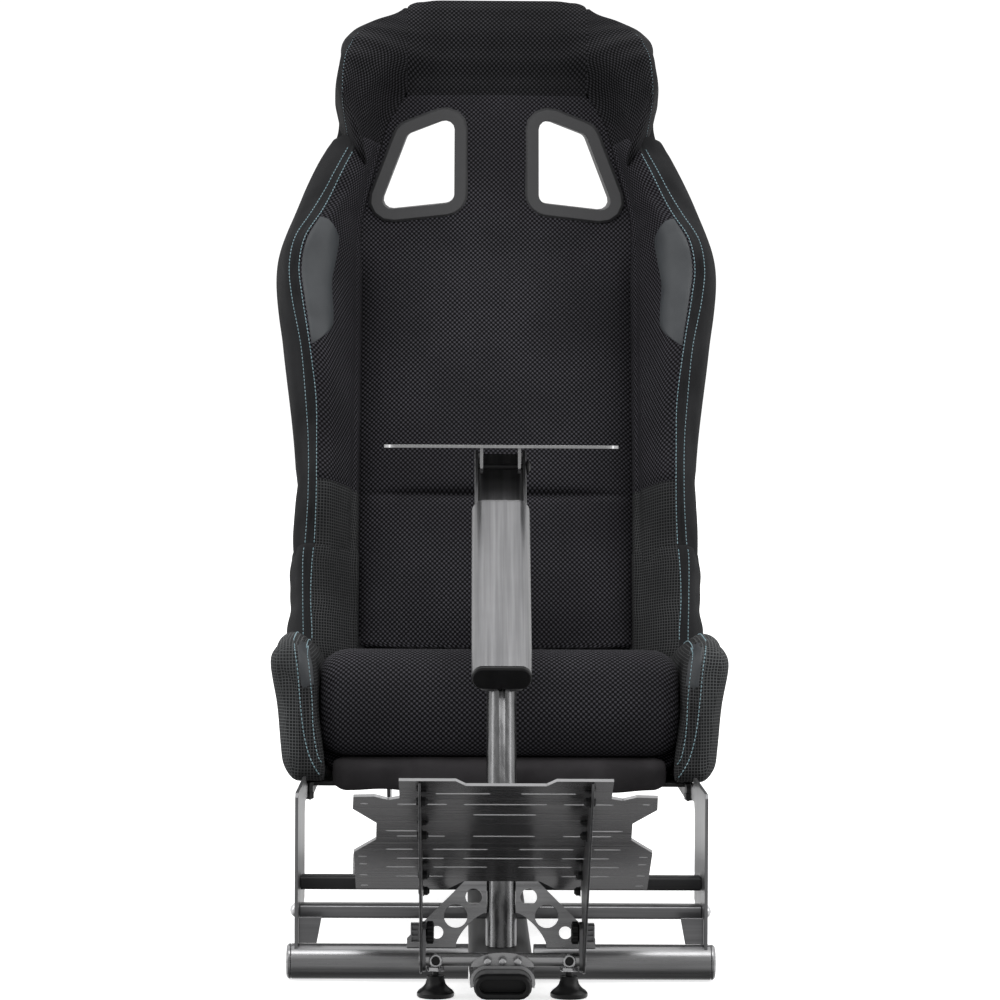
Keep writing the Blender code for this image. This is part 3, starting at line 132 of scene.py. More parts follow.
def curve_value(keys, where):
    """Catmull-Rom value of a list of (place, value) keys."""
    if where <= keys[0][0]:
        return keys[0][1]
    for index in range(len(keys) - 1):
        low, high = keys[index][0], keys[index + 1][0]
        if where <= high:
            t = (where - low) / (high - low)
            before = keys[max(index - 1, 0)]
            after = keys[min(index + 2, len(keys) - 1)]
            span = high - low
            first, second = keys[index][1], keys[index + 1][1]
            slope_low = (second - before[1]) / (high - before[0]) * span
            slope_high = (after[1] - first) / (after[0] - low) * span
            cubic = (2 * t**3 - 3 * t**2 + 1) * first + (t**3 - 2 * t**2 + t) * slope_low
            return cubic + (3 * t**2 - 2 * t**3) * second + (t**3 - t**2) * slope_high
    return keys[-1][1]


def on_back(x, h, n):
    """A point of the backrest: across, up the back and out of its face."""
    return BACK_FOOT + x * X_AXIS + h * BACK_UP + n * BACK_FACE


def belt_way(x, h, n):
    """A point of a harness opening, which runs nearly level through the leaning back."""
    return on_back(x, h - n * BELT_SLOPE, n)


def edge_line(h):
    return curve_value(EDGE_LINE, h)


def seam_line(h):
    return straight_keys(SEAM_LINE, h)


def spread(low, high, count):
    return [low + (high - low) * k / (count - 1) for k in range(count)]


# Meshes
def loft(name, rings):
    """A mesh over closed rings of as many points each, with its cloth coordinates in metres."""
    size = len(rings[0])
    shape = bmesh.new()
    cloth = shape.loops.layers.uv.new("cloth")
    rows = [[shape.verts.new(p) for p in ring] for ring in rings]
    rounds = [sum_lengths(ring + [ring[0]]) for ring in rings]
    rises = sum_lengths([ring[0] for ring in rings])
    middles = sum_lengths([sum(ring, Vector()) / size for ring in rings])
    for i in range(len(rings) - 1):
        for k in range(size):
            nxt = (k + 1) % size
            face = shape.faces.new((rows[i][k], rows[i][nxt], rows[i + 1][nxt], rows[i + 1][k]))
            places = ((i, k), (i, k + 1), (i + 1, k + 1), (i + 1, k))
            for loop, (row, column) in zip(face.loops, places):
                loop[cloth].uv = (rounds[row][column] - rounds[row][-1] / 2, max(rises[row], middles[row]))
    shape.faces.new(list(reversed(rows[0])))
    shape.faces.new(rows[-1])
    return finished_mesh(name, shape)


def sum_lengths(points):
    total = [0.0]
    for first, second in zip(points, points[1:]):
        total.append(total[-1] + (second - first).length)
    return total


def finished_mesh(name, shape):
    bmesh.ops.recalc_face_normals(shape, faces=shape.faces)
    for face in shape.faces:
        face.smooth = True
    mesh = bpy.data.meshes.new(name)
    shape.to_mesh(mesh)
    shape.free()
    piece = bpy.data.objects.new(name, mesh)
    bpy.context.scene.collection.objects.link(piece)
    return piece


def circle_ring(centre, axis, radius, count):
    right = axis.orthogonal().normalized()
    up = axis.cross(right)
    steps = [2 * math.pi * k / count for k in range(count)]
    return [centre + radius * (math.cos(t) * right + math.sin(t) * up) for t in steps]


CORNER_STEPS = 6


def corner(corners, index):
    """A corner of an outline, the way back along it, the way into it and half its angle."""
    here = Vector(corners[index])
    back = (Vector(corners[index - 1]) - here).normalized()
    ahead = (Vector(corners[(index + 1) % len(corners)]) - here).normalized()
    return here, back, (back + ahead).normalized(), back.angle(ahead) / 2


def widened(corners, distance):
    """The corners of a convex outline, counter-clockwise, moved out by distance."""
    moved = []
    for index in range(len(corners)):
        here, _, middle, half = corner(corners, index)
        moved.append(here - middle * distance / math.sin(half))
    return moved


def rounded(corners, radius):
    """A convex outline, counter-clockwise, with its corners rounded."""
    points = []
    for index in range(len(corners)):
        here, back, middle, half = corner(corners, index)
        centre = here + middle * radius / math.sin(half)
        first = here + back * radius / math.tan(half) - centre
        for k in range(CORNER_STEPS + 1):
            t = (math.pi - 2 * half) * k / CORNER_STEPS
            c, s = math.cos(t), math.sin(t)
            points.append((centre.x + c * first.x - s * first.y, centre.y + s * first.x + c * first.y))
    return points


HOLE_GAP = 0.004
CUT_REACH = 0.2


def hole_outline(sign, out):
    """The harness opening, widened, as (across, up)."""
    corners = [(sign * x, h) for x, h in HARNESS_HOLE]
    return rounded(widened(corners if sign > 0 else corners[::-1], out), RING_CORNER + out)


def cut_hole(piece, sign):
    """Takes a harness opening out of a piece."""
    outline = hole_outline(sign, HOLE_GAP)
    cutter = loft("cutter", [[belt_way(x, h, n) for x, h in outline] for n in (-CUT_REACH, CUT_REACH)])
    step = piece.modifiers.new("hole", "BOOLEAN")
    step.object = cutter
    apply_modifiers(piece)
    bpy.data.objects.remove(cutter)


def apply_modifiers(piece):
    view = bpy.context.evaluated_depsgraph_get()
    made = bpy.data.meshes.new_from_object(piece.evaluated_get(view))
    piece.modifiers.clear()
    piece.data = made


# Padding
INFLATE_FRAMES = 16
CLOTH_SETTINGS = {"quality": 5, "mass": 0.25, "tension_stiffness": 20, "compression_stiffness": 20,
                  "bending_stiffness": 2, "vertex_group_mass": "pin", "use_pressure": True}


def inflate(jobs):
    """Swells padded pieces under air pressure: each job is a piece, its pins, a pressure and a limit."""
    scene = bpy.context.scene
    for piece, pinned, pressure, _ in jobs:
        group = piece.vertex_groups.new(name="pin")
        for vertex in piece.data.vertices:
            group.add([vertex.index], pinned(vertex.co), "REPLACE")
        cloth = piece.modifiers.new("cloth", "CLOTH")
        for name, value in CLOTH_SETTINGS.items():
            setattr(cloth.settings, name, value)
        cloth.settings.uniform_pressure_force = pressure
        cloth.settings.effector_weights.gravity = 0
        cloth.collision_settings.use_collision = False
        cloth.point_cache.frame_start = 1
        cloth.point_cache.frame_end = INFLATE_FRAMES
    for step in range(1, INFLATE_FRAMES + 1):
        scene.frame_set(step)
    view = bpy.context.evaluated_depsgraph_get()
    for piece, _, _, limit in jobs:
        swollen = [v.co.copy() for v in piece.evaluated_get(view).data.vertices]
        for vertex, place in zip(piece.data.vertices, swollen):
            move = place - vertex.co
            if move.length > limit:
                move = move.normalized() * limit
            vertex.co += move
        piece.modifiers.remove(piece.modifiers["cloth"])
        piece.vertex_groups.clear()
    scene.frame_set(1)


def press(piece, line, radius, depth):
    """Draws the cover in along a seam."""
    tree = KDTree(len(line))
    for index, place in enumerate(line):
        tree.insert(place, index)
    tree.balance()
    bm = bmesh.new()
    bm.from_mesh(piece.data)
    bm.normal_update()
    for vertex in bm.verts:
        near = tree.find(vertex.co)[2]
        if near < radius:
            vertex.co -= vertex.normal * depth * (1 - (near / radius) ** 2) ** 2
    bm.to_mesh(piece.data)
    bm.free()


def refine(piece):
    step = piece.modifiers.new("round", "SUBSURF")
    step.levels = 1
    step.render_levels = 1
    apply_modifiers(piece)


def surface_of(piece):
    return BVHTree.FromObject(piece, bpy.context.evaluated_depsgraph_get())


def cast(surface, origin, direction):
    """Where a line meets a surface, and the surface's normal there, turned against the line."""
    place, normal, _, _ = surface.ray_cast(origin, direction)
    if place is None:
        return None
    return place, normal if normal.dot(direction) < 0 else -normal


CAST_FROM = 0.3


def cast_back(surface, x, h):
    return cast(surface, on_back(x, h, CAST_FROM), -BACK_FACE)


def resampled(spots, pitch):
    """(place, normal) spots at even steps along a line of them."""
    lengths = sum_lengths([p for p, _ in spots])
    result, index = [], 0
    for step in range(int(lengths[-1] / pitch)):
        want = step * pitch
        while lengths[index + 1] < want:
            index += 1
        t = (want - lengths[index]) / max(lengths[index + 1] - lengths[index], 1e-9)
        (p0, n0), (p1, n1) = spots[index], spots[index + 1]
        result.append((p0.lerp(p1, t), n0.lerp(n1, t).normalized()))
    return result


def stitch_line(name, spots):
    """A row of thread stitches on a surface, with a gap after each."""
    even = resampled(spots, STITCH_PITCH / STITCH_STEPS)
    shape = bmesh.new()
    for start in range(0, len(even) - STITCH_STEPS, STITCH_STEPS):
        rows = []
        for k in range(STITCH_STEPS):
            place, normal = even[start + k]
            ahead = (even[start + k + 1][0] - place).normalized()
            side = normal.cross(ahead).normalized()
            end = k in (0, STITCH_STEPS - 1)
            radius = STITCH_RADIUS * (STITCH_END if end else 1.0)
            centre = place + normal * (0.0 if end else STITCH_RADIUS * STITCH_END)
            turns = [2 * math.pi * j / THREAD_SIDES for j in range(THREAD_SIDES)]
            ring = [centre + radius * (math.cos(t) * side + math.sin(t) * normal) for t in turns]
            rows.append([shape.verts.new(p) for p in ring])
        for low, high in zip(rows, rows[1:]):
            for j in range(THREAD_SIDES):
                ahead = (j + 1) % THREAD_SIDES
                shape.faces.new((low[j], low[ahead], high[ahead], high[j]))
        shape.faces.new(list(reversed(rows[0])))
        shape.faces.new(rows[-1])
    thread = finished_mesh(name, shape)
    thread.data.materials.append(THREAD)
    return thread


PATCH_RIM = -0.0006


def laid_patch(name, rows, lift):
    """A thin slate panel laid on a surface: rows of (place, normal) spots, its rim pressed down."""
    shape = bmesh.new()
    last_row, last_column = len(rows) - 1, len(rows[0]) - 1
    cloth = shape.loops.layers.uv.new("cloth")
    verts = []
    for i, row in enumerate(rows):
        line = []
        for k, (place, normal) in enumerate(row):
            rim = i in (0, last_row) or k in (0, last_column)
            line.append(shape.verts.new(place + normal * (PATCH_RIM if rim else lift)))
        verts.append(line)
    for i in range(last_row):
        for k in range(last_column):
            face = shape.faces.new((verts[i][k], verts[i][k + 1], verts[i + 1][k + 1], verts[i + 1][k]))
            for loop in face.loops:
                loop[cloth].uv = (loop.vert.co.x, loop.vert.co.z)
    bmesh.ops.remove_doubles(shape, verts=shape.verts, dist=1e-5)
    patch = finished_mesh(name, shape)
    patch.data.materials.append(SLATE)
    return patch


# Materials
def sum_node(tree, operation, *values):
    """A Math node's output."""
    node = tree.nodes.new("ShaderNodeMath")
    node.operation = operation
    for socket, value in zip(node.inputs, values):
        if isinstance(value, (int, float)):
            socket.default_value = value
        else:
            tree.links.new(value, socket)
    return node.outputs[0]


def ranged(tree, value, low, high, first=0.0, second=1.0):
    """A smooth ramp of a value between two limits."""
    node = tree.nodes.new("ShaderNodeMapRange")
    node.interpolation_type = "SMOOTHSTEP"
    tree.links.new(value, node.inputs["Value"])
    for name, number in (("From Min", low), ("From Max", high), ("To Min", first), ("To Max", second)):
        node.inputs[name].default_value = number
    return node.outputs["Result"]


def mixed(tree, share, first, second):
    """A colour between two, by a share."""
    node = tree.nodes.new("ShaderNodeMix")
    node.data_type = "RGBA"
    tree.links.new(share, node.inputs["Factor"])
    for socket, colour in ((node.inputs[6], first), (node.inputs[7], second)):
        if isinstance(colour, tuple):
            socket.default_value = (*colour, 1)
        else:
            tree.links.new(colour, socket)
    return node.outputs[2]


def noise(tree, scale, detail=3.0, stretch=None, turn=0.0):
    """Cloudy value from 0 to 1, stretched along an axis if asked."""
    place = tree.nodes.new("ShaderNodeTexCoord")
    node = tree.nodes.new("ShaderNodeTexNoise")
    node.inputs["Scale"].default_value = scale
    node.inputs["Detail"].default_value = detail
    coordinates = place.outputs["Object"]
    if stretch:
        mapping = tree.nodes.new("ShaderNodeMapping")
        mapping.vector_type = "TEXTURE"
        mapping.inputs["Scale"].default_value = stretch
        mapping.inputs["Rotation"].default_value = (turn, 0, 0)
        tree.links.new(coordinates, mapping.inputs["Vector"])
        coordinates = mapping.outputs["Vector"]
    tree.links.new(coordinates, node.inputs["Vector"])
    return node.outputs["Fac"]


def new_material(name, roughness=0.5, metallic=0.0, specular=0.5, sheen=0.0):
    material = bpy.data.materials.new(name)
    material.use_nodes = True
    tree = material.node_tree
    shader = tree.nodes["Principled BSDF"]
    shader.inputs["Roughness"].default_value = roughness
    shader.inputs["Metallic"].default_value = metallic
    shader.inputs["Specular IOR Level"].default_value = specular
    shader.inputs["Sheen Weight"].default_value = sheen
    return material, tree, shader


def coloured(tree, shader, share, dark, light):
    tree.links.new(mixed(tree, share, dark, light), shader.inputs["Base Color"])


def set_bump(tree, shader, height, distance, strength):
    node = tree.nodes.new("ShaderNodeBump")
    node.inputs["Distance"].default_value = distance
    node.inputs["Strength"].default_value = strength
    tree.links.new(height, node.inputs["Height"])
    tree.links.new(node.outputs["Normal"], shader.inputs["Normal"])


def cloth_waves(tree, pitch, wobble):
    """Cosines of the cloth coordinates, one period a pitch, bent a little by noise."""
    place = tree.nodes.new("ShaderNodeUVMap")
    place.uv_map = "cloth"
    split = tree.nodes.new("ShaderNodeSeparateXYZ")
    tree.links.new(place.outputs["UV"], split.inputs["Vector"])
    bend = sum_node(tree, "MULTIPLY", noise(tree, 14.0, 1.0), wobble)
    waves = []
    for socket in (split.outputs["X"], split.outputs["Y"]):
        angle = sum_node(tree, "MULTIPLY_ADD", socket, 2 * math.pi / pitch, bend)
        waves.append(sum_node(tree, "COSINE", angle))
    return waves


def mesh_cloth(name, dark, light, pitch):
    """Spacer knit: raised lighter knots in staggered rows over dark ground."""
    material, tree, shader = new_material(name, roughness=0.9, specular=0.12)
    across, along = cloth_waves(tree, pitch, 1.2)
    lattice = sum_node(tree, "MULTIPLY", across, along)
    knots = ranged(tree, lattice, -0.30, 0.65)
    patches = ranged(tree, noise(tree, 9.0), 0.3, 0.75, 0.65, 1.0)
    share = sum_node(tree, "MULTIPLY", knots, patches)
    coloured(tree, shader, share, dark, light)
    set_bump(tree, shader, knots, 0.0008, 0.7)
    return material


def grid_cloth(name, dark, light, pitch):
    """Stretched mesh: thin lighter threads in a square grid."""
    material, tree, shader = new_material(name, roughness=0.9, specular=0.12)
    across, along = cloth_waves(tree, pitch, 0.8)
    threads = ranged(tree, sum_node(tree, "MAXIMUM", across, along), 0.45, 0.98)
    patches = ranged(tree, noise(tree, 11.0), 0.25, 0.75, 0.5, 1.0)
    share = sum_node(tree, "MULTIPLY", threads, patches)
    coloured(tree, shader, share, dark, light)
    set_bump(tree, shader, threads, 0.0005, 0.6)
    return material


def plain_cloth(name, dark, light):
    """Fine smooth knit."""
    material, tree, shader = new_material(name, roughness=0.9, specular=0.12)
    across, along = cloth_waves(tree, 0.0016, 0.5)
    ribs = ranged(tree, sum_node(tree, "MULTIPLY", across, along), -0.6, 0.8)
    clouds = ranged(tree, noise(tree, 22.0, 5.0), 0.3, 0.7)
    share = sum_node(tree, "MULTIPLY_ADD", clouds, 0.6, sum_node(tree, "MULTIPLY", ribs, 0.4))
    coloured(tree, shader, share, dark, light)
    set_bump(tree, shader, ribs, 0.0003, 0.5)
    return material


def leather(name, dark, light):
    """Smooth coated cloth with a fine pebble grain."""
    material, tree, shader = new_material(name, roughness=0.48, specular=0.4)
    place = tree.nodes.new("ShaderNodeTexCoord")
    cells = tree.nodes.new("ShaderNodeTexVoronoi")
    cells.inputs["Scale"].default_value = 900.0
    tree.links.new(place.outputs["Object"], cells.inputs["Vector"])
    clouds = ranged(tree, noise(tree, 30.0, 4.0), 0.3, 0.7)
    coloured(tree, shader, clouds, dark, light)
    set_bump(tree, shader, cells.outputs["Distance"], 0.0002, 0.5)
    return material


def brushed_steel(name, dark, light, stretch, turn=0.0, roughness=0.34, rim=1.0):
    """Satin steel with fine brush lines along one direction."""
    material, tree, shader = new_material(name, metallic=0.92)
    shader.inputs["Specular Tint"].default_value = (rim, rim, rim, 1)
    lines = noise(tree, 260.0, 4.0, stretch, turn)
    clouds = noise(tree, 16.0, 4.0)
    share = sum_node(tree, "MULTIPLY_ADD", lines, 0.7, sum_node(tree, "MULTIPLY", clouds, 0.3))
    coloured(tree, shader, ranged(tree, share, 0.3, 0.7), dark, light)
    rough = ranged(tree, lines, 0.25, 0.75, roughness - 0.06, roughness + 0.08)
    tree.links.new(rough, shader.inputs["Roughness"])
    set_bump(tree, shader, lines, 0.00005, 0.4)
    return material


def moulded(name, dark, light, roughness):
    """Black plastic or coat with a fine spark texture."""
    material, tree, shader = new_material(name, specular=0.3)
    fine = noise(tree, 1400.0, 2.0)
    clouds = noise(tree, 35.0, 4.0)
    coloured(tree, shader, ranged(tree, clouds, 0.3, 0.7), dark, light)
    rough = ranged(tree, clouds, 0.3, 0.7, roughness - 0.05, roughness + 0.06)
    tree.links.new(rough, shader.inputs["Roughness"])
    set_bump(tree, shader, fine, 0.00012, 0.4)
    return material


def thread_material(name, dark, light):
    material, tree, shader = new_material(name, roughness=0.6, specular=0.3, sheen=0.2)
    twist = noise(tree, 700.0, 2.0)
    coloured(tree, shader, ranged(tree, twist, 0.3, 0.7), dark, light)
    set_bump(tree, shader, twist, 0.0002, 0.5)
    return material


KNIT = mesh_cloth("spacer_knit", (0.0050, 0.0048, 0.0056), (0.077, 0.075, 0.086), 0.0052)
# The headrest and its wings get a darker copy of the spacer knit: painted shade for the hollow,
# downward-facing head.
KNIT_HEAD_SHADE = mesh_cloth("headrest_knit_painted_shade", (0.0036, 0.0036, 0.0040), (0.052, 0.051, 0.057), 0.0052)
GRID = grid_cloth("stretched_mesh", (0.013, 0.0132, 0.0138), (0.088, 0.090, 0.092), 0.0032)
GRID_BASE = grid_cloth("base_mesh", (0.020, 0.0208, 0.0215), (0.135, 0.140, 0.143), 0.0032)
PLAIN = plain_cloth("fine_knit", (0.014, 0.0142, 0.0152), (0.029, 0.0293, 0.031))
PLAIN_SKIRT = plain_cloth("skirt_knit", (0.026, 0.0245, 0.026), (0.062, 0.058, 0.062))
SLATE = leather("slate_panel", (0.044, 0.048, 0.053), (0.058, 0.063, 0.068))
THREAD = thread_material("thread", (0.15, 0.28, 0.32), (0.33, 0.46, 0.51))
STEEL_DARK, STEEL_LIGHT = (0.17, 0.17, 0.175), (0.26, 0.26, 0.265)
ACROSS, LENGTHWAYS, UPRIGHT = (40, 1, 1), (1, 40, 1), (1, 1, 40)
STEEL_ACROSS = brushed_steel("steel_across", STEEL_DARK, STEEL_LIGHT, ACROSS)
STEEL_LENGTHWAYS = brushed_steel("steel_lengthways", STEEL_DARK, STEEL_LIGHT, LENGTHWAYS)
STEEL_UPRIGHT = brushed_steel("steel_upright", STEEL_DARK, STEEL_LIGHT, UPRIGHT)
STEEL_ARM = brushed_steel("steel_arm", STEEL_DARK, STEEL_LIGHT, UPRIGHT, math.radians(-45))
STEEL_DECK = brushed_steel("steel_deck", (0.30, 0.297, 0.302), (0.36, 0.356, 0.363), ACROSS,
                           roughness=0.22, rim=0.55)
# The spine's steel is darker and reflects less at grazing angles: painted shade standing in for the seat and
# frame that hang over it.
STEEL_SPINE_SHADE = brushed_steel("steel_spine_painted_shade", (0.15, 0.15, 0.152), (0.21, 0.21, 0.213), LENGTHWAYS,
                            roughness=0.45, rim=0.2)
STEEL_TUBE = brushed_steel("steel_tube", (0.24, 0.24, 0.245), (0.35, 0.35, 0.355), ACROSS, roughness=0.28)
STEEL_COLUMN = brushed_steel("steel_column", (0.12, 0.12, 0.122), (0.19, 0.19, 0.193), UPRIGHT,
                             roughness=0.24)
STEEL_PLATE = brushed_steel("steel_plate", (0.42, 0.42, 0.425), (0.52, 0.52, 0.525), ACROSS,
                            roughness=0.26, rim=0.6)
# The pedal plate's edges and slot walls get a brighter steel with a full rim: painted highlight.
STEEL_EDGE_HIGHLIGHT = brushed_steel("edge_painted_highlight", (0.33, 0.33, 0.335), (0.38, 0.38, 0.385), ACROSS, roughness=0.45)
BOLT_STEEL = brushed_steel("bolt_steel", (0.55, 0.55, 0.56), (0.70, 0.70, 0.71), (1, 1, 1), roughness=0.25)
BLACK_COAT = moulded("black_coat_finish", (0.012, 0.012, 0.013), (0.020, 0.020, 0.021), 0.42)
BLACK_PLASTIC = moulded("black_moulding", (0.006, 0.006, 0.0065), (0.011, 0.011, 0.0115), 0.33)
GREY_PLASTIC = moulded("grey_moulding", (0.040, 0.040, 0.042), (0.050, 0.050, 0.052), 0.55)


# Backrest upholstery: the thread lines and heights of its side rolls and wings, by place up the back
THREAD_OUTER = ((0.015, 0.2122), (0.05, 0.2131), (0.096, 0.2136), (0.118, 0.2116), (0.168, 0.2085),
                (0.223, 0.2088), (0.27, 0.212), (0.328, 0.2177), (0.386, 0.229), (0.421, 0.2322),
                (0.4555, 0.2266), (0.49, 0.2095), (0.53, 0.190), (0.575, 0.1696))
THREAD_INNER = ((0.015, 0.2027), (0.05, 0.2047), (0.084, 0.2041), (0.118, 0.2016), (0.168, 0.1996),
                (0.223, 0.1998), (0.27, 0.2007), (0.328, 0.2081), (0.386, 0.2177), (0.421, 0.2216),
                (0.4555, 0.2154), (0.49, 0.198), (0.53, 0.181), (0.575, 0.1616))
ROLL_CREST = ((0.075, 0.012), (0.095, 0.034), (0.2, 0.062), (0.35, 0.088), (0.44, 0.086), (0.53, 0.060),
              (0.60, 0.042))
ROLL_TOP = 0.598
WING_LOW = 0.553
WING_TOP = 0.7605
WING_EDGE = ((0.553, 0.161), (0.575, 0.169), (0.595, 0.1768), (0.611, 0.1823), (0.632, 0.187),
             (0.650, 0.189), (0.684, 0.1853), (0.702, 0.1830), (0.7193, 0.1745), (0.7303, 0.1598),
             (0.7427, 0.1390), (0.753, 0.1187), (0.7605, 0.1060))
WING_CREST = ((0.553, 0.044), (0.575, 0.064), (0.60, 0.076), (0.64, 0.086), (0.67, 0.083), (0.695, 0.068),
              (0.7198, 0.045), (0.735, 0.030), (0.752, 0.017), (0.7605, 0.0115))
WING_THREAD = ((0.549, 0.157), (0.5667, 0.1634), (0.5962, 0.1714), (0.6186, 0.1752), (0.6398, 0.1754),
               (0.6628, 0.1738), (0.6841, 0.1692), (0.7093, 0.1594), (0.722, 0.150))
WING_MARGIN = 0.010
HEAD_LOW = 0.650
HEAD_FACE = ((0.650, -0.0015), (0.672, 0.003), (0.70, 0.012), (0.73, 0.018), (0.755, 0.015), (0.770, 0.006),
             (0.7765, -0.006), (0.7795, -0.022))
HEAD_WIDTH = ((0.650, 0.1044), (0.7595, 0.1044), (0.7648, 0.1018), (0.769, 0.0945), (0.773, 0.0845),
              (0.7763, 0.072), (0.7795, 0.056))
HEAD_RISE = 0.7795
HEAD_FLARE = ((0.65, 0.0), (0.70, 0.040))
HEAD_EAVE = ((0.757, 0.0), (0.766, 0.005), (0.7795, 0.014))
SEAM_TIGHT = 0.0007
SEAM_PLAY = 0.0004
PAD_CROWN = ((0.0, -0.004), (0.05, 0.010), (0.15, 0.012), (0.40, 0.011), (0.47, 0.0))
PAD_EDGE = ((0.0, 0.012), (0.42, 0.010), (0.48, 0.0005))
PAD_ROLL = ((0.86, 0.0), (0.965, 0.45), (1.0, 1.0))
HEAD_DROP = ((0.80, 0.0), (1.0, 1.0))
SHELL_CROWN = ((0.160, 0.744), (0.128, 0.759), (0.100, 0.767), (0.05, 0.7745), (0.0, 0.777))
SHELL_LAYERS = ((0.004, SHELL_FRONT), (0.0, SHELL_FRONT - 0.006), (0.0, -0.045), (0.002, -0.060),
                (0.007, -0.070), (0.014, -0.0755), (0.024, -0.078), (0.045, -0.080), (0.075, -0.0815),
                (0.11, -0.0825), (0.15, -0.083), (0.175, -0.083), (0.19, -0.083), (0.1975, -0.083))


def lerp(first, second, share):
    return first + (second - first) * share


def shrunk(loop, share):
    """A loop of points drawn in towards its middle."""
    middle = sum(loop, Vector()) / len(loop)
    return [middle + (p - middle) * share for p in loop]


def tapered(name, section, sign, heights):
    """A piece over sections at (height, share) steps, each drawn in to its share."""
    return loft(name, [shrunk(section(sign, h), share) for h, share in heights])


def roll_section(sign, h, inside, outside, back, crest):
    """A side roll cut across: seam, flat back, outer side, thread band and inner slope."""
    inner, outer = curve_value(THREAD_INNER, h), curve_value(THREAD_OUTER, h)
    rise = crest - back
    points = [(inside, back), (lerp(inside, outside, 0.5), back), (outside - 0.010, back),
              (outside, back + 0.22 * rise), (outside, back + 0.52 * rise),
              (lerp(outside, outer, 0.5), back + 0.86 * rise), (outer, 0.970 * crest),
              (lerp(outer, inner, 0.5), 1.0 * crest), (inner, 0.985 * crest),
              (lerp(inner, inside, 0.30), 0.84 * crest), (lerp(inner, inside, 0.62), 0.50 * crest),
              (lerp(inner, inside, 0.88), 0.16 * crest), (inside, 0.001)]
    return [on_back(sign * p.x, h, max(p.y, back)) for p in spline(points, 4, closed=True)]


def roll_loop(sign, h):
    inside = seam_line(h) + SEAM_PLAY
    return roll_section(sign, h, inside, edge_line(h), SHELL_FRONT, smooth_keys(ROLL_CREST, h))


def side_roll(side, sign):
    ends = ((0.0, 0.72), (0.003, 0.88), (0.009, 0.96), (0.018, 1.0))
    heights = [(SHELL_FOOT + d, share) for d, share in ends]
    heights += [(h, 1.0) for h in spread(SHELL_FOOT + 0.028, ROLL_TOP, 52)]
    return tapered(f"side_roll_{side}", roll_loop, sign, heights)


def wing_ridge(h):
    """How far out the headrest's side has its crest."""
    widest = curve_value(WING_EDGE, h) - WING_MARGIN
    return max(min(curve_value(WING_THREAD, h), widest), seam_line(h) + 0.004)


def head_front(x, h):
    """The headrest's face: flat in the middle, curling forward into its sides."""
    middle, crest, ridge = smooth_keys(HEAD_FACE, h), smooth_keys(WING_CREST, h), wing_ridge(h)
    start = seam_line(h) - smooth_keys(HEAD_FLARE, h)
    share = min(max((abs(x) - start) / (ridge - start), 0.0), 1.0)
    return middle + (crest - middle) * share * share * (3 - 2 * share)


def wing_loop(sign, h):
    """A section of the headrest's side: it curls forward, with its crest near the outer edge."""
    back, crest = SHELL_FRONT, smooth_keys(WING_CREST, h)
    inside, outside, ridge = seam_line(h), curve_value(WING_EDGE, h), wing_ridge(h)
    rise = crest - back
    round_side = [(outside - 0.008, back), (outside - 0.0015, back + 0.16 * rise),
                  (outside, back + 0.40 * rise), (outside - 0.001, back + 0.66 * rise),
                  (lerp(outside, ridge, 0.42), back + 0.90 * rise), (ridge, crest)]
    loop = [(p.x, p.y) for p in spline(round_side, 4)]
    across = spread(ridge, inside, 18)
    loop += [(x, head_front(x, h)) for x in (*across[1:-1], inside + SEAM_TIGHT, inside)]
    edge = head_front(inside, h)
    loop += [(inside, edge - SEAM_TIGHT), (inside, lerp(edge, back, 0.5)), (inside, back)]
    loop += [(lerp(inside, outside - 0.008, 0.5), back)]
    return [on_back(sign * x, h, max(n, back)) for x, n in loop]


def head_wing(side, sign):
    ends = ((0.0, 0.62), (0.002, 0.80), (0.006, 0.92), (0.013, 0.98))
    heights = [(WING_LOW + d, share) for d, share in ends]
    heights += [(h, 1.0) for h in spread(WING_LOW + 0.021, WING_TOP, 36)]
    return tapered(f"head_wing_cover_{side}", wing_loop, sign, heights)


def pad_front(half, count):
    """Places across a pad's face as (across, sink), crowded at both edges."""
    front = [(half, SEAM_TIGHT), (half, 0.0), (half - SEAM_TIGHT, 0.0)]
    front += [(x, 0.0) for x in spread(half, -half, count)[1:-1]]
    return front + [(SEAM_TIGHT - half, 0.0), (-half, 0.0), (-half, SEAM_TIGHT)]


def pad_back(half, h):
    return [on_back(x, h, SHELL_FRONT) for x in spread(-half, half, 9)]


def pad_loop(half, h, crown, edge):
    """A section of a flat-backed pad that swells by crown and rolls off at its edges."""
    loop = pad_back(half, h)
    for x, sink in pad_front(half, 41):
        share = abs(x) / half
        roll = edge * smooth_keys(PAD_ROLL, share) + sink
        loop.append(on_back(x, h, crown * (1 - share**2) - roll))
    return loop


def centre_pad():
    rings = []
    folds = [CREASE_H + side * d for side in (-1, 1) for d in (0.0008, 0.0025, 0.005, 0.009, 0.015)]
    plain = [h for h in spread(0.0, HEAD_FOOT, 86) if abs(h - CREASE_H) > 0.019]
    for h in sorted(plain + folds):
        fold = abs(h - CREASE_H)
        crown = smooth_keys(PAD_CROWN, h)
        crown -= 0.009 * max(0.0, 1 - fold / 0.006) + 0.006 * max(0.0, 1 - fold / 0.022) ** 2
        rings.append(pad_loop(seam_line(h), h, crown, smooth_keys(PAD_EDGE, h)))
    return loft("centre_pad", rings)


def head_loop(h):
    half = curve_value(HEAD_WIDTH, h)
    eave = smooth_keys(HEAD_EAVE, h)
    loop = pad_back(half, h)
    for x, sink in pad_front(half, 49):
        drop = eave * smooth_keys(HEAD_DROP, abs(x) / half) + sink
        loop.append(on_back(x, h, max(head_front(x, h) - drop, SHELL_FRONT + 0.001)))
    return loop


def headrest():
    heights = [HEAD_LOW, 0.653] + spread(0.658, 0.757, 24)
    heights += [0.762, 0.766, 0.770, 0.773, 0.7755, 0.7777, 0.779, HEAD_RISE]
    return loft("headrest_cover", [head_loop(h) for h in heights])


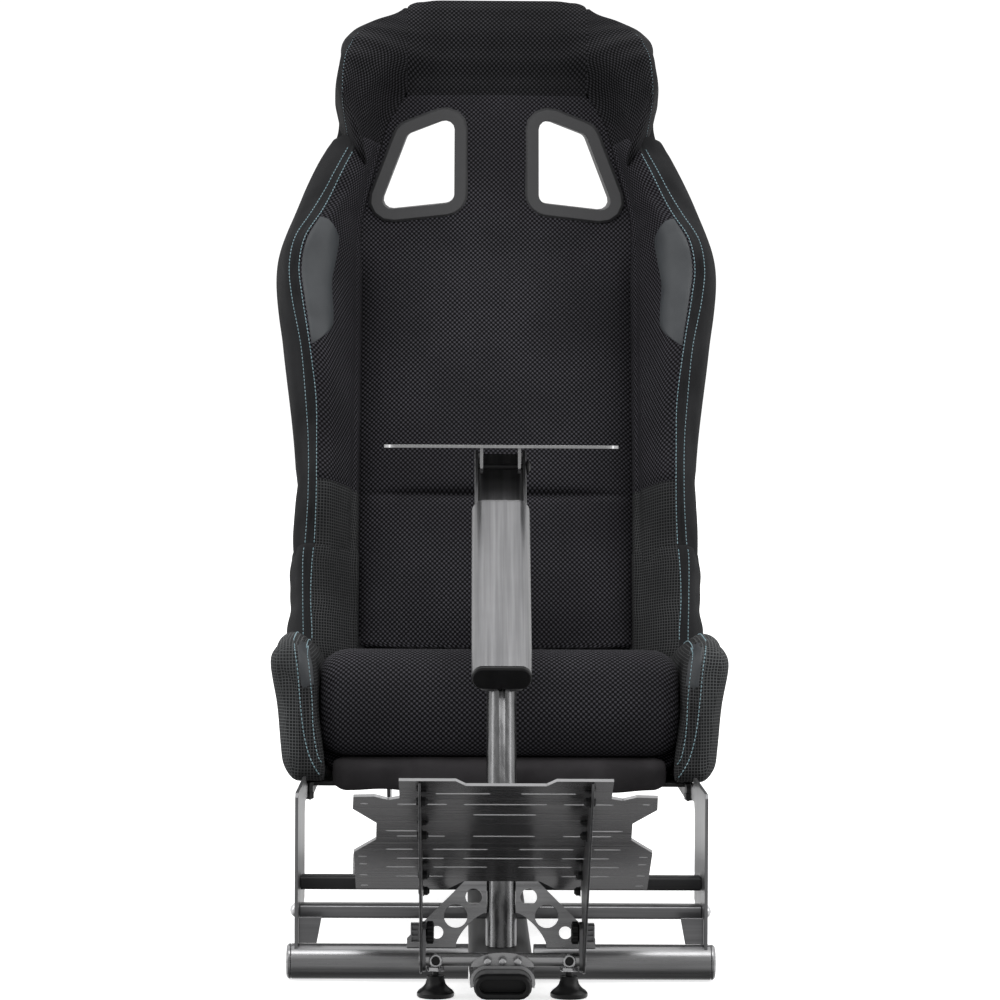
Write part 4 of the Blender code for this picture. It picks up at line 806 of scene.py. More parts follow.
def shell_outline(inset):
    """The backrest's edge drawn in by inset, as (across, up)."""
    half = [Vector((x, h)) for h, x in EDGE_LINE[:-1]] + [Vector(p) for p in SHELL_CROWN]
    narrow, short = 1 - inset / 0.2, 1 - 2 * inset / 0.69
    drawn = [Vector((p.x * narrow, SHELL_FOOT + inset + (p.y - SHELL_FOOT) * short)) for p in spline(half, 5)]
    return drawn + [Vector((-p.x, p.y)) for p in reversed(drawn[:-1])]


def back_cover():
    """The covered tray behind the padding, with a softly domed rear face."""
    rings = [[on_back(p.x, p.y, n) for p in shell_outline(inset)] for inset, n in SHELL_LAYERS]
    return loft("back_cover", rings)


def lay_cloth(piece, rule):
    """Sets the cloth coordinates of a piece by a rule of place and normal."""
    cloth = piece.data.uv_layers["cloth"].data
    for face in piece.data.polygons:
        for index in face.loop_indices:
            place = piece.data.vertices[piece.data.loops[index].vertex_index].co
            cloth[index].uv = rule(place, face.normal)


def flat_on_back(place, normal):
    """Cloth laid square across the back and brought round its edges."""
    x, h, n = back_place(place)
    return (x + math.copysign(n, x) if abs(normal.x) > 0.8 else x, h)


def boxed_cloth(place, normal):
    """Cloth in panels: sides, top and front."""
    if abs(normal.x) > max(abs(normal.y), abs(normal.z)):
        return (place.y, place.z)
    if abs(normal.y) > abs(normal.z):
        return (place.x, place.z)
    return (place.x, place.y)


def back_place(place):
    """Across, up the back and out of its face."""
    from_foot = place - BACK_FOOT
    return from_foot.x, from_foot.dot(BACK_UP), from_foot.dot(BACK_FACE)


# Seat upholstery
SEAT_Z = 0.1643
SEAT_HALF = 0.1775
SEAT_PROFILE = ((0.290, 0.0), (0.302, 0.045), (0.285, 0.076), (0.20, 0.080), (0.11, 0.080), (0.045, 0.086),
                (0.026, 0.083), (0.008, 0.098), (-0.035, 0.126), (-0.075, 0.1325), (-0.107, 0.114),
                (-0.1205, 0.072), (-0.109, 0.030), (-0.081, 0.0225), (-0.065, 0.0))
SEAT_ROLL = Vector((0, -0.05, 0.074))
BOLSTER_ENDS = (-0.125, 0.27)
BOLSTER_TOP = ((-0.125, 0.306), (-0.02, 0.310), (0.27, 0.274))
BOLSTER_OUTLINE = ((0.1788, 0.0), (0.200, 0.0), (0.2105, 0.085), (0.2140, 0.265), (0.2178, 0.545),
                   (0.2245, 0.825), (0.2215, 0.94), (0.2110, 0.995), (0.198, 0.98), (0.187, 0.90),
                   (0.180, 0.76), (0.1788, 0.5))
BOLSTER_NOSE = ((0.0, 0.06), (0.0003, 0.28), (0.0014, 0.52), (0.004, 0.72), (0.009, 0.86), (0.017, 0.95),
                (0.028, 1.0))
BOLSTER_MIDDLE = 0.199
BOLSTER_TUCK = 0.012
BOLSTER_TUCK_RISE = 0.5
BOLSTER_TUCK_RUN = 0.055
HINGE_LOW, HINGE_TOP = -0.095, 0.112
HINGE_BACK = -0.066
HINGE_CREST = ((-0.095, 0.008), (-0.05, 0.024), (0.0, 0.032), (0.05, 0.036), (0.112, 0.0395))
HINGE_INSIDE = ((-0.035, 0.180), (-0.004, 0.1535), (0.112, 0.1535))
HINGE_EDGE = ((-0.095, 0.226), (-0.04, 0.230), (0.0106, 0.2325), (0.059, 0.2295), (0.112, 0.2295))
FLAP_LOW, FLAP_HIGH = (0, 0.291, SEAT_Z + 0.062), tuple(on_back(0, 0.014, -0.010))
FLAP_HALF = 0.176
FLAP_THICK = 0.004
SKIRT_HALF = 0.1655
SKIRT_BACK = -0.0957


def seat_cushion():
    """The seat's cover: a deep front roll and a lower sitting place, with rounded ends."""
    profile = [Vector((0, y, z)) for y, z in spline(SEAT_PROFILE, 4, closed=True)]
    ends = [(0.0, 0.41), (0.002, 0.2545), (0.005, 0.172), (0.010, 0.091), (0.018, 0.023), (0.027, 0.0)]
    stations = [(-SEAT_HALF + d, pull) for d, pull in ends]
    stations += [(x, 0.0) for x in spread(-SEAT_HALF + 0.036, SEAT_HALF - 0.036, 40)]
    stations += [(SEAT_HALF - d, pull) for d, pull in reversed(ends)]
    rings = []
    for x, pull in stations:
        crown = 0.006 * (1 - (x / SEAT_HALF) ** 2)
        ring = []
        for p in profile:
            middle = SEAT_ROLL if p.y < 0.02 else Vector((0, min(p.y, 0.27), 0.045))
            place = p + (middle - p) * pull
            lift = crown if place.z > 0.05 and place.y > 0.03 else 0.0
            ring.append(Vector((x, place.y, SEAT_Z + max(place.z, 0.0) + lift)))
        rings.append(ring)
    return loft("seat_cover", rings)


def seat_skirt():
    """The strip of cover below the roll, with soft folds."""
    rings = []
    for x in spread(-SKIRT_HALF, SKIRT_HALF, 60):
        wave = 0.0016 * math.sin(41 * x + 0.6) + 0.0012 * math.sin(97 * x)
        end = max(0.0, 1 - (SKIRT_HALF - abs(x)) / 0.010)
        low, high, deep = 0.1565 + 0.6 * wave + 0.006 * end, 0.187 - 0.004 * end, 0.0135 - 0.008 * end
        back = SKIRT_BACK
        loop = [(back, low + 0.002), (back, high), (back - 0.4 * deep, high + 0.001),
                (back - deep - wave, lerp(low, high, 0.80)),
                (back - deep - 0.5 * wave, lerp(low, high, 0.40)),
                (back - 0.7 * deep, low + 0.001), (back - 0.35 * deep, low)]
        rings.append([Vector((x, p.x, p.y)) for p in spline(loop, 3, closed=True)])
    return loft("seat_skirt_cover", rings)


def bolster_loop(sign, y, share):
    foot, top = SEAT_Z + 0.0002, smooth_keys(BOLSTER_TOP, y)
    loop = []
    for p in spline(BOLSTER_OUTLINE, 4, closed=True):
        low = max(0.0, 1 - max(p.y, 0.0) / BOLSTER_TUCK_RISE)
        ahead = max(0.0, 1 - (y - BOLSTER_ENDS[0]) / BOLSTER_TUCK_RUN)
        inner = max(0.0, BOLSTER_MIDDLE - p.x) / (BOLSTER_MIDDLE - BOLSTER_OUTLINE[0][0])
        x = BOLSTER_MIDDLE + (p.x - BOLSTER_MIDDLE - BOLSTER_TUCK * low * ahead * inner) * share
        rise = 0.47 + (max(p.y, 0.0) - 0.47) * lerp(share, 1.0, 0.45)
        loop.append(Vector((sign * x, y, foot + rise * (top - foot))))
    return loop


def base_bolster(side, sign):
    front, rear = BOLSTER_ENDS
    stations = [(front + d, share) for d, share in BOLSTER_NOSE]
    stations += [(y, 1.0) for y in spread(front + 0.042, rear - 0.042, 34)]
    stations += [(rear - d, share) for d, share in reversed(BOLSTER_NOSE)]
    piece = loft(f"base_bolster_cover_{side}", [bolster_loop(sign, y, share) for y, share in stations])
    lay_cloth(piece, boxed_cloth)
    return piece


def hinge_loop(sign, h):
    """A section of the cover that carries the side roll on down, round the fold hinge."""
    inside, outside = smooth_keys(HINGE_INSIDE, h), curve_value(HINGE_EDGE, h)
    crease = 0.0010 * math.sin(95 * h) + 0.0006 * math.sin(211 * h + 1)
    return roll_section(sign, h, inside, outside + crease, HINGE_BACK, smooth_keys(HINGE_CREST, h))


def hinge_cover(side, sign):
    heights = [(h, 1.0) for h in spread(HINGE_LOW, HINGE_TOP - 0.003, 34)]
    heights += [(HINGE_TOP - 0.001, 0.995), (HINGE_TOP, 0.975), (HINGE_TOP - 0.0005, 0.95)]
    return tapered(f"hinge_cover_{side}", hinge_loop, sign, heights)


def hinge_flap():
    """The strip of cover that joins the back's foot to the seat's rear end."""
    low, high = Vector(FLAP_LOW), Vector(FLAP_HIGH)
    rings = []
    for x in spread(-FLAP_HALF, FLAP_HALF, 50):
        fold = 0.0012 * math.sin(58 * x) + 0.0008 * math.sin(131 * x + 0.5)
        front = [low + Vector((0, -0.006, 0)), lerp(low, high, 0.35) + Vector((0, 0.004 + fold, 0)),
                 lerp(low, high, 0.7) + Vector((0, 0.006 + fold, 0)), high + Vector((0, -0.002, 0))]
        back = [p + Vector((0, FLAP_THICK, 0)) for p in reversed(front)]
        rings.append([Vector((x, p.y, p.z)) for p in spline([(0, p.y, p.z) for p in front], 4)
                      + spline([(0, p.y, p.z) for p in back], 4)])
    return loft("hinge_flap", rings)


# Padding swells under air pressure while its seams and backs are held
def held_on_back(place):
    x, h, n = back_place(place)
    near = abs(abs(x) - seam_line(h)) < 0.006 or n < SHELL_FRONT + 0.004
    return 1.0 if near else 0.0


def held_on_crease(place):
    _, h, _ = back_place(place)
    sewn = abs(h - CREASE_H) < 0.009 or h < 0.004 or h > HEAD_FOOT - 0.004
    return 1.0 if sewn else held_on_back(place)


def held_on_pan(place):
    return 1.0 if place.z < SEAT_Z + 0.004 or abs(place.y - 0.026) < 0.006 else 0.0


def held_below(place):
    inner = abs(place.x) < 0.183
    return 1.0 if inner or place.z < SEAT_Z + 0.004 else 0.0


ROLLS = {side: side_roll(side, sign) for side, sign in SIDES}
WINGS = {side: head_wing(side, sign) for side, sign in SIDES}
BASE_BOLSTERS = {side: base_bolster(side, sign) for side, sign in SIDES}
HINGE_COVERS = {side: hinge_cover(side, sign) for side, sign in SIDES}
CENTRE = centre_pad()
HEAD = headrest()
SHELL = back_cover()
SEAT = seat_cushion()
SKIRT = seat_skirt()
for piece in (CENTRE, HEAD, SHELL):
    lay_cloth(piece, flat_on_back)

jobs = [(piece, held_on_back, 3.0, 0.004) for piece in (*ROLLS.values(), *WINGS.values(), HEAD)]
jobs += [(CENTRE, held_on_crease, 2.0, 0.004), (SEAT, held_on_pan, 3.0, 0.003)]
jobs += [(piece, held_below, 3.0, 0.003) for piece in BASE_BOLSTERS.values()]
inflate(jobs)

for covers in (ROLLS, WINGS, BASE_BOLSTERS, HINGE_COVERS):
    for piece in covers.values():
        refine(piece)
for piece in (CENTRE, HEAD, SHELL, SEAT, SKIRT):
    refine(piece)


# Seams, thread and panels
PATCH_EDGE = ((0.3288, 0.207), (0.3393, 0.1934), (0.3532, 0.1836), (0.3695, 0.1818), (0.4101, 0.184),
              (0.438, 0.180), (0.4636, 0.1773), (0.474, 0.1823), (0.4798, 0.1885), (0.4845, 0.1975))
PATCH_LIFT, PANEL_LIFT = 0.0012, 0.0003
BASE_THREAD_OUTER = ((0.1705, 0.1752), (0.1775, 0.1797), (0.1919, 0.1868), (0.2164, 0.1928), (0.2478, 0.1963),
                     (0.280, 0.1992), (0.300, 0.2028))
BASE_THREAD_INNER = ((0.1805, 0.1722), (0.1919, 0.1786), (0.2184, 0.1832), (0.2528, 0.1852), (0.2815, 0.1884),
                     (0.296, 0.1913))
ROLL_SEAM, BASE_SEAM, JOIN_SEAM = (0.0035, 0.0016), (0.0035, 0.0014), (0.0035, 0.0022)
WING_SEAM, CUSHION_SEAM = (0.003, 0.0008), (0.0028, 0.0016)
PAD_FILL, SEAT_FILL = 0.9, 0.95
ROLL_JOIN_H = CREASE_H + 0.004
ROLL_JOIN_START = 0.158
CUSHION_SEAM_X = 0.1662
BASE_RUN_OUTER = ((-0.085, 0.2045), (0.25, 0.207))
BASE_RUN_INNER = ((-0.085, 0.1925), (0.25, 0.196))
BASE_PANEL_INNER = ((0.2590, 0.1808), (0.283, 0.1842), (0.295, 0.1895), (0.3025, 0.1972))
BASE_PANEL_OUTER = ((0.2590, 0.1962), (0.3025, 0.2010))


def from_front(surface, x, z):
    return cast(surface, Vector((x, -0.4, z)), Y_AXIS)


def base_line(surface, run, drop, sign):
    """A line of spots along the top of a base bolster and down its front."""
    spots = [cast(surface, Vector((sign * straight_keys(run, y), y, 0.5)), -Z_AXIS)
             for y in spread(run[-1][0], run[0][0], 60)]
    spots += [from_front(surface, sign * curve_value(drop, z), z)
              for z in spread(drop[-1][0], drop[0][0], 50)]
    return [spot for spot in spots if spot]


def back_line(surface, keys, sign, low, high, count=110):
    spots = [cast_back(surface, sign * curve_value(keys, h), h) for h in spread(low, high, count)]
    return [spot for spot in spots if spot]


def painted(piece, materials, rule):
    """Gives each face one of the materials."""
    for material in materials:
        piece.data.materials.append(material)
    for face in piece.data.polygons:
        face.material_index = rule(face.center)


def dress(piece, body, nodes=()):
    """Hangs a piece on the body it rides on and hides the nodes it stands for."""
    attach(piece, body)
    if nodes:
        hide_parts(*nodes)


def double_seam(piece, stem, side, body, outer, inner, pressed):
    """Two rows of thread on a cover that is drawn in between them."""
    press(piece, [(first[0] + second[0]) / 2 for first, second in zip(outer, inner)], *pressed)
    for name, line in (("outer", outer), ("inner", inner)):
        dress(stitch_line(f"{stem}_thread_{name}_{side}", line), body)


def roll_cloth(place):
    x, h, n = back_place(place)
    if abs(x) > curve_value(THREAD_INNER, h) or n < SHELL_FRONT + 0.002:
        return 2
    return 0 if h > ROLL_JOIN_H else 1


def wing_cloth(place):
    x, h, _ = back_place(place)
    return 1 if abs(x) > curve_value(WING_THREAD, h) + 0.002 else 0


def hinge_cloth(place):
    x, h, n = back_place(place)
    return 1 if abs(x) > curve_value(THREAD_INNER, h) or n < -0.01 else 0


def base_cloth(place):
    return 1 if abs(place.x) < 0.197 else 0


for side, sign in SIDES:
    roll = ROLLS[side]
    surface = surface_of(roll)
    outer = back_line(surface, THREAD_OUTER, sign, HINGE_TOP + 0.002, 0.578)
    inner = back_line(surface, THREAD_INNER, sign, HINGE_TOP + 0.002, 0.572)
    double_seam(roll, "roll", side, "backrest", outer, inner, ROLL_SEAM)
    join = spread(ROLL_JOIN_START, curve_value(THREAD_INNER, ROLL_JOIN_H) - 0.002, 40)
    spots = [cast_back(surface, sign * x, ROLL_JOIN_H) for x in join]
    press(roll, [spot[0] for spot in spots if spot], *JOIN_SEAM)
    surface = surface_of(roll)
    rows = []
    for h in spread(PATCH_EDGE[0][0], PATCH_EDGE[-1][0], 34):
        rim = curve_value(THREAD_INNER, h)
        edge = min(curve_value(PATCH_EDGE, h), rim - 0.0022)
        rows.append([cast_back(surface, sign * x, h) for x in spread(edge, rim - 0.0020, 12)])
    dress(laid_patch(f"shoulder_panel_{side}", rows, PATCH_LIFT), "backrest")
    painted(roll, (KNIT, GRID, PLAIN), roll_cloth)
    dress(roll, "backrest", [f"back_bolster_{side}"])

    wing = WINGS[side]
    surface = surface_of(wing)
    line = back_line(surface, WING_THREAD, sign, WING_LOW + 0.012, 0.712)
    dress(stitch_line(f"wing_thread_{side}", line), "backrest")
    press(wing, [place for place, _ in line], *WING_SEAM)
    # Inside its thread the wing takes the darker headrest knit, which is painted shade.
    painted(wing, (KNIT_HEAD_SHADE, PLAIN), wing_cloth)
    dress(wing, "backrest", [f"head_wing_{side}"])

    bolster = BASE_BOLSTERS[side]
    surface = surface_of(bolster)
    outer = base_line(surface, BASE_RUN_OUTER, BASE_THREAD_OUTER, sign)
    inner = base_line(surface, BASE_RUN_INNER, BASE_THREAD_INNER, sign)
    double_seam(bolster, "base", side, "base", outer, inner, BASE_SEAM)
    rows = []
    for z in spread(BASE_PANEL_INNER[0][0], BASE_PANEL_INNER[-1][0], 14):
        ends = curve_value(BASE_PANEL_INNER, z), straight_keys(BASE_PANEL_OUTER, z)
        rows.append([from_front(surface, sign * x, z) for x in spread(*ends, 9)])
    panel = laid_patch(f"base_panel_{side}", [row for row in rows if all(row)], PANEL_LIFT)
    dress(panel, "base")
    painted(bolster, (GRID_BASE, GRID), base_cloth)
    dress(bolster, "base", [f"base_bolster_{side}"])

    cover = HINGE_COVERS[side]
    surface = surface_of(cover)
    blended = [cover]
    for name, keys in (("outer", THREAD_OUTER), ("inner", THREAD_INNER)):
        line = back_line(surface, keys, sign, 0.006, HINGE_TOP - 0.002, 40)
        blended.append(stitch_line(f"hinge_thread_{name}_{side}", line))
    painted(cover, (GRID, PLAIN), hinge_cloth)
    for piece in blended:
        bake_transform(piece)

surface = surface_of(SEAT)
for _, sign in SIDES:
    heights = spread(SEAT_Z + 0.036, SEAT_Z + 0.100, 40)
    spots = [from_front(surface, sign * CUSHION_SEAM_X, z) for z in heights]
    press(SEAT, [spot[0] for spot in spots if spot], *CUSHION_SEAM)

flap = hinge_flap()
lay_cloth(flap, flat_on_back)
flap.data.materials.append(PLAIN)
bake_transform(flap)

for _, sign in SIDES:
    cut_hole(CENTRE, sign)
    cut_hole(SHELL, sign)
WHOLE_COVERS = (
    (CENTRE, KNIT, "backrest", "back_pad", PAD_FILL),
    # The headrest takes the darker knit, which is painted shade.
    (HEAD, KNIT_HEAD_SHADE, "backrest", "headrest_pad", PAD_FILL),
    (SHELL, PLAIN, "backrest", "back_shell", None),
    (SEAT, KNIT, "base", "seat_cushion", SEAT_FILL),
    (SKIRT, PLAIN_SKIRT, "base", "seat_skirt", None),
)
for piece, material, body, node, fill in WHOLE_COVERS:
    painted(piece, (material,), lambda place: 0)
    dress(piece, body, [node])


# Metal and plastic
EDGE_ROUND, DECK_EDGE = 0.0006, 0.0009


def finish_node(node, material, edge=EDGE_ROUND, bright=None):
    """Rounds the edges of a kept solid and gives it its finish, and, when a brighter material is given,
    paints a highlight on its rounded edges with it.
    """
    piece = NODES[node]
    mesh = piece.data
    if "custom_normal" in mesh.attributes:
        mesh.attributes.remove(mesh.attributes["custom_normal"])
    mesh.shade_smooth()
    weld = piece.modifiers.new("weld", "WELD")
    weld.merge_threshold = 1e-5
    flat = piece.modifiers.new("flat", "DECIMATE")
    flat.decimate_type = "DISSOLVE"
    flat.angle_limit = math.radians(1.0)
    bevel = piece.modifiers.new("edge", "BEVEL")
    bevel.width = edge
    bevel.segments = 2
    bevel.limit_method = "ANGLE"
    bevel.angle_limit = math.radians(35)
    bevel.harden_normals = True
    mesh.materials[0] = material
    if bright:
        mesh.materials.append(bright)
        bevel.material = 1


def both(*stems):
    return [f"{stem}_{side}" for stem in stems for side, _ in SIDES]


FINISHES = (
    (STEEL_TUBE, ["rear_tube", *both("front_tube", "front_cap", "rear_cap")]),
    (STEEL_ACROSS, ["lower_cross_bar", *both("corner_gusset")]),
    (STEEL_PLATE, ["wheel_plate", "foot_bar", "carriage_clip"]),
    # The spine takes the darker steel, which is painted shade.
    (STEEL_SPINE_SHADE, ["spine_tube"]),
    (STEEL_COLUMN, ["column_tube"]),
    (STEEL_LENGTHWAYS, ["pedal_beam"]),
    (STEEL_UPRIGHT, both("side_plate", "rear_bracket", "fin", "tilt_ear", "clamp_block")),
    (STEEL_ARM, ["wheel_arm", "wheel_post", "arm_saddle"]),
    (BLACK_COAT, ["upper_cross_bar", "tilt_bolt", "seat_pan", "back_frame",
                  *both("hinge_bracket", "hinge_ear")]),
    (BLACK_PLASTIC, ["arm_end_cap", "beam_end_cap", *both("clamp_knob", "foot")]),
    (GREY_PLASTIC, both("harness_ring")),
)
for material, names in FINISHES:
    for name in names:
        finish_node(name, material)
# The pedal plate's edge faces and slot walls take the brighter steel, which is a painted highlight.
finish_node("pedal_plate", STEEL_DECK, DECK_EDGE, STEEL_EDGE_HIGHLIGHT)
for face in NODES["pedal_plate"].data.polygons:
    face.material_index = 1 if abs(face.normal.y) < 0.3 or face.normal.y * face.normal.z < 0 else 0


# Column gussets with whole holes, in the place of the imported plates
COLUMN_LEAN = math.radians(15.0)
COLUMN_UP = Vector((0, math.sin(COLUMN_LEAN), math.cos(COLUMN_LEAN)))
GUSSET_SEAT = Vector((0, -0.297, 0.033))
GUSSET_INNER = 0.0136
GUSSET_RUN = 0.074
GUSSET_NIB = 0.006
GUSSET_SINK = 0.0026
GUSSET_ARCH = (0.0285, 0.0300)
GUSSET_ARCH_POWER = 1.43
GUSSET_HALF = 0.0015
HOLE_SIDES = 24
SORT_WAY = Vector((1.0, 7.31, 53.17))
GUSSET_HOLES = ((0.012, 0.0448, 0.0078), (0.0288, 0.0268, 0.0110), (0.0462, 0.0115, 0.0060))


def round_loop(x, y, radius):
    turns = [2 * math.pi * k / HOLE_SIDES for k in range(HOLE_SIDES)]
    return [(x + radius * math.cos(t), y + radius * math.sin(t)) for t in turns]


def drilled_plate(name, loops, origin, right, up, half):
    """A flat plate from its outline and the outlines of its holes, its mesh in the same order each run."""
    across = right.cross(up)
    shape = bmesh.new()
    edges = []
    for loop in loops:
        verts = [shape.verts.new(origin + x * right + y * up - half * across) for x, y in loop]
        edges += [shape.edges.new((verts[k - 1], verts[k])) for k in range(len(verts))]
    bmesh.ops.triangle_fill(shape, use_beauty=True, edges=edges)
    grown = bmesh.ops.extrude_face_region(shape, geom=list(shape.faces))
    moved = [item for item in grown["geom"] if isinstance(item, bmesh.types.BMVert)]
    bmesh.ops.translate(shape, verts=moved, vec=2 * half * across)
    shape.verts.sort(key=lambda vertex: vertex.co.dot(SORT_WAY))
    shape.faces.sort(key=lambda face: face.calc_center_median().dot(SORT_WAY))
    plate = finished_mesh(name, shape)
    for face in plate.data.polygons:
        face.use_smooth = False
    return plate


def column_gusset(side, sign):
    wide, high = GUSSET_ARCH
    power = 2 / GUSSET_ARCH_POWER
    arch = [(GUSSET_INNER + wide * math.cos(t) ** power, high * math.sin(t) ** power)
            for t in spread(math.pi / 2 - 0.0001, 0.0001, 18)]
    far = GUSSET_INNER + GUSSET_RUN
    outline = [(far, -GUSSET_SINK), (far, GUSSET_NIB), (GUSSET_INNER + GUSSET_NIB, GUSSET_RUN),
               (GUSSET_INNER, GUSSET_RUN)]
    outline += arch + [(GUSSET_INNER + wide, -GUSSET_SINK)]
    loops = [outline] + [round_loop(GUSSET_INNER + x, y, r) for x, y, r in GUSSET_HOLES]
    name = f"column_gusset_plate_{side}"
    plate = drilled_plate(name, loops, GUSSET_SEAT, sign * X_AXIS, COLUMN_UP, GUSSET_HALF)
    plate.data.materials.append(STEEL_TUBE)
    dress(plate, "base", [f"column_gusset_{side}"])


# Small fasteners: their turned profiles and places
HEXAGON = 6
DOME = ((0.0, 0.0068), (0.0014, 0.0068), (0.0034, 0.0060), (0.0053, 0.0041), (0.0064, 0.0014))
STUD = ((0.0, 0.0040), (0.0010, 0.0056), (0.0070, 0.0056), (0.0075, 0.0045), (0.0120, 0.0045),
        (0.0166, 0.0060))
SMALL_NUT = ((0.0, 0.0052), (0.0009, 0.0052), (0.0010, 0.0043), (0.0040, 0.0043), (0.0046, 0.0034),
             (0.0060, 0.0022))
SCREW_RIM = ((0.0, 0.0061), (0.0022, 0.0061), (0.0030, 0.0054), (0.0030, 0.0040), (0.0016, 0.0039))
# A black hex set into each foot screw's rim: painted shade for the screw's socket.
SOCKET_SHADE = ((0.0015, 0.0040), (0.0024, 0.0040), (0.0026, 0.0034))
PIN_HEAD = ((0.0, 0.0036), (0.0014, 0.0036), (0.0022, 0.0028), (0.0024, 0.0012))
BAR_BOLT = (0.1919, -0.2538, 0.059)
SEAT_STUD = (0.1885, -0.1, 0.1475)
FOOT_AXIS = (0.0602, -0.39, 0)
FOOT_SCREW = (0.0602, -0.3962, 0.0337)
FOOT_NUT = ((0.0234, 0.0076), (0.0234 + 0.0006, 0.0082), (0.0272, 0.0082))
CLIP_SCREWS = ((-0.0135, -0.4049, 0.0343), (0.0, -0.4049, 0.0343), (0.0135, -0.4049, 0.0343))
FIN_X, FIN_HALF = 0.0735, 0.001
DECK_LOW = Vector((0, -0.3064, 0.0865))
DECK_UP = Vector((0, -0.9042, 0.4272))
DECK_UNDER = Vector((0, -0.4272, -0.9042))
FIN_NUTS = (0.020, 0.067, 0.179, 0.269)
FIN_NUT_DROP = 0.0085


def fitted(name, steps, place, axis, material, body, count=18):
    """A fastener turned about an axis from (distance along the axis, radius) steps."""
    axis = Vector(axis).normalized()
    piece = loft(name, [circle_ring(Vector(place) + d * axis, axis, r, count) for d, r in steps])
    for face in piece.data.polygons:
        face.use_smooth = count > HEXAGON
    piece.data.materials.append(material)
    dress(piece, body)


def on_side(sign, place):
    return (sign * place[0], *place[1:])


for side, sign in SIDES:
    column_gusset(side, sign)
    out, inward = sign * X_AXIS, -sign * X_AXIS
    bolt, stud, screw = (on_side(sign, place) for place in (BAR_BOLT, SEAT_STUD, FOOT_SCREW))
    fitted(f"bar_bolt_{side}", DOME, bolt, out, BOLT_STEEL, "base")
    fitted(f"seat_stud_{side}", STUD, stud, Z_AXIS, BLACK_PLASTIC, "base", HEXAGON)
    fitted(f"foot_screw_{side}", SCREW_RIM, screw, -Y_AXIS, BOLT_STEEL, "carriage")
    # The black hex in the screw's socket is painted shade.
    fitted(f"foot_socket_{side}", SOCKET_SHADE, screw, -Y_AXIS, BLACK_PLASTIC, "carriage",
           HEXAGON)
    foot = on_side(sign, FOOT_AXIS)
    fitted(f"foot_nut_{side}", FOOT_NUT, foot, Z_AXIS, BOLT_STEEL, "carriage", HEXAGON)
    for index, rise in enumerate(FIN_NUTS):
        spot = DECK_LOW + rise * DECK_UP + FIN_NUT_DROP * DECK_UNDER
        inside = (sign * (FIN_X - FIN_HALF), spot.y, spot.z)
        outside = (sign * (FIN_X + FIN_HALF), spot.y, spot.z)
        fitted(f"fin_nut_{side}_{index}", SMALL_NUT, inside, inward, BLACK_COAT, "pedal_deck",
               HEXAGON)
        fitted(f"fin_pin_{side}_{index}", PIN_HEAD, outside, out, BLACK_COAT, "pedal_deck")
for index, place in enumerate(CLIP_SCREWS):
    fitted(f"clip_screw_{index}", PIN_HEAD, place, -Y_AXIS, BOLT_STEEL, "carriage")


# Stage, light and camera
FLOOR_HALF = 60.0
FLOOR_GLOW = 0.70
BACKDROP = 1.05
ROOM_FRONT = 0.48
ROOM_SIDES = 1.10
ROOM_UNDER = 0.10
ROOM_TOP = 0.30
KEY_POWER, SIDE_POWER = 20, 9


def area_light(name, place, target, size, power):
    lamp = bpy.data.lights.new(name, "AREA")
    lamp.shape = "RECTANGLE"
    lamp.size, lamp.size_y = size
    lamp.energy = power
    holder = bpy.data.objects.new(name, lamp)
    holder.location = place
    holder.rotation_euler = (Vector(target) - Vector(place)).to_track_quat("-Z", "Y").to_euler()
    bpy.context.scene.collection.objects.link(holder)


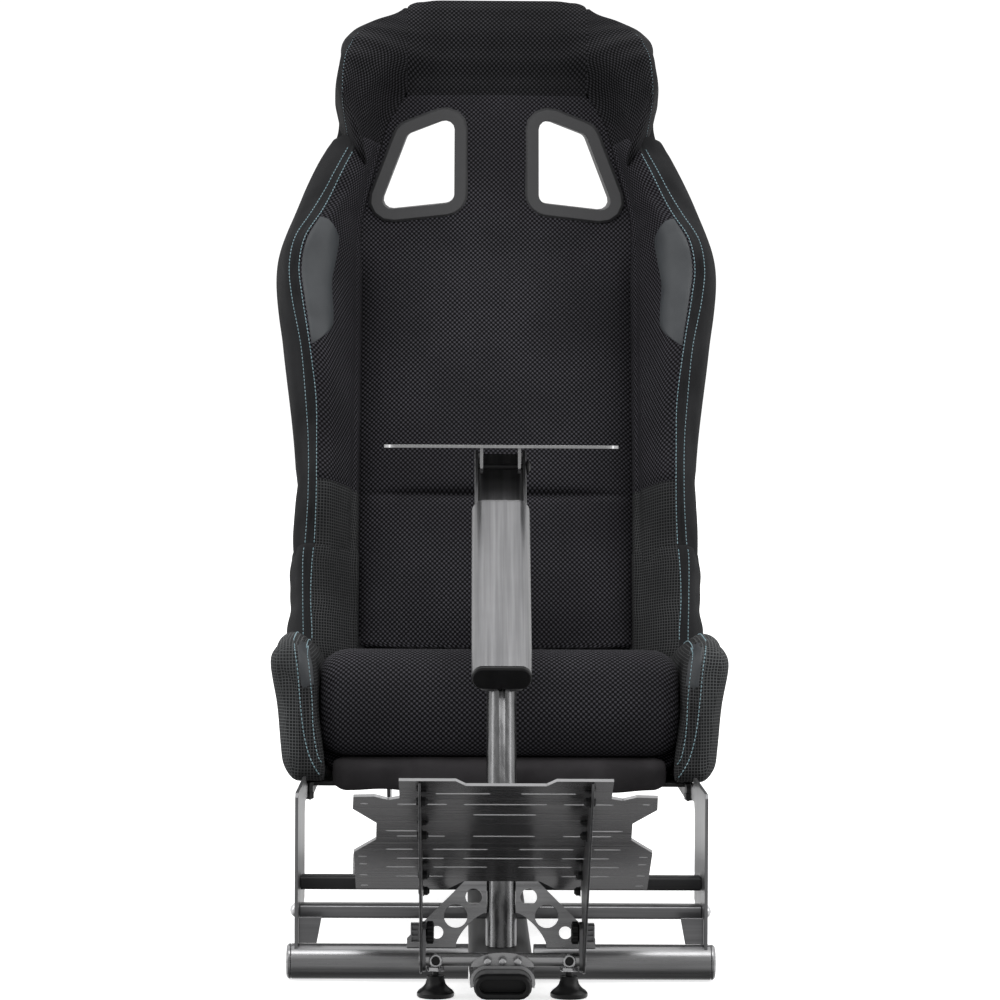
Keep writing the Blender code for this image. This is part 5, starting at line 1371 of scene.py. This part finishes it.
floor_shape = bmesh.new()
bmesh.ops.create_grid(floor_shape, x_segments=2, y_segments=2, size=FLOOR_HALF)
floor = finished_mesh("floor", floor_shape)
floor.location.z = -0.0005
floor_finish, _, floor_shader = new_material("pale_floor", roughness=0.9, specular=0.1)
floor_shader.inputs["Base Color"].default_value = (0.8, 0.8, 0.8, 1)
floor_shader.inputs["Emission Color"].default_value = (1, 1, 1, 1)
floor_shader.inputs["Emission Strength"].default_value = FLOOR_GLOW
floor.data.materials.append(floor_finish)
floor.visible_diffuse = False
floor.visible_glossy = False


def studio_world():
    """A pale room: brightest overhead, dimmer in front, dark underneath, white where the camera looks."""
    world = bpy.data.worlds.new("studio")
    world.use_nodes = True
    tree = world.node_tree
    place = tree.nodes.new("ShaderNodeTexCoord")
    split = tree.nodes.new("ShaderNodeSeparateXYZ")
    tree.links.new(place.outputs["Generated"], split.inputs["Vector"])
    ahead = ranged(tree, split.outputs["Y"], -0.95, 0.1, ROOM_FRONT, ROOM_SIDES)
    under = ranged(tree, split.outputs["Z"], -0.95, -0.25, ROOM_UNDER, 1.0)
    over = ranged(tree, split.outputs["Z"], 0.3, 0.95, 0.0, ROOM_TOP)
    room = sum_node(tree, "ADD", sum_node(tree, "MULTIPLY", ahead, under), over)
    seen = tree.nodes.new("ShaderNodeLightPath").outputs["Is Camera Ray"]
    strength = sum_node(tree, "MAXIMUM", room, sum_node(tree, "MULTIPLY", seen, BACKDROP))
    tree.links.new(strength, tree.nodes["Background"].inputs["Strength"])
    tree.nodes["Background"].inputs["Color"].default_value = (1, 1, 1, 1)
    return world


bpy.context.scene.world = studio_world()
area_light("key", (0, -1.5, 2.6), (0, 0, 0.4), (1.8, 0.8), KEY_POWER)
for side, sign in SIDES:
    area_light(f"side_{side}", (sign * 2.2, -0.6, 1.2), (0, 0.1, 0.5), (0.6, 1.8), SIDE_POWER)

lens = bpy.data.cameras.new("camera")
lens.lens = CAMERA_LENS
lens.sensor_width = 36.0
camera = bpy.data.objects.new("camera", lens)
camera.location = CAMERA_PLACE
aim = Matrix.Rotation(math.radians(-CAMERA_YAW), 3, "Z")
aim = aim @ Matrix.Rotation(math.radians(90 - CAMERA_PITCH), 3, "X")
camera.rotation_euler = (aim @ Matrix.Rotation(math.radians(CAMERA_ROLL), 3, "Z")).to_euler()
bpy.context.scene.collection.objects.link(camera)
bpy.context.scene.camera = camera

bpy.context.scene.view_settings.view_transform = "Standard"
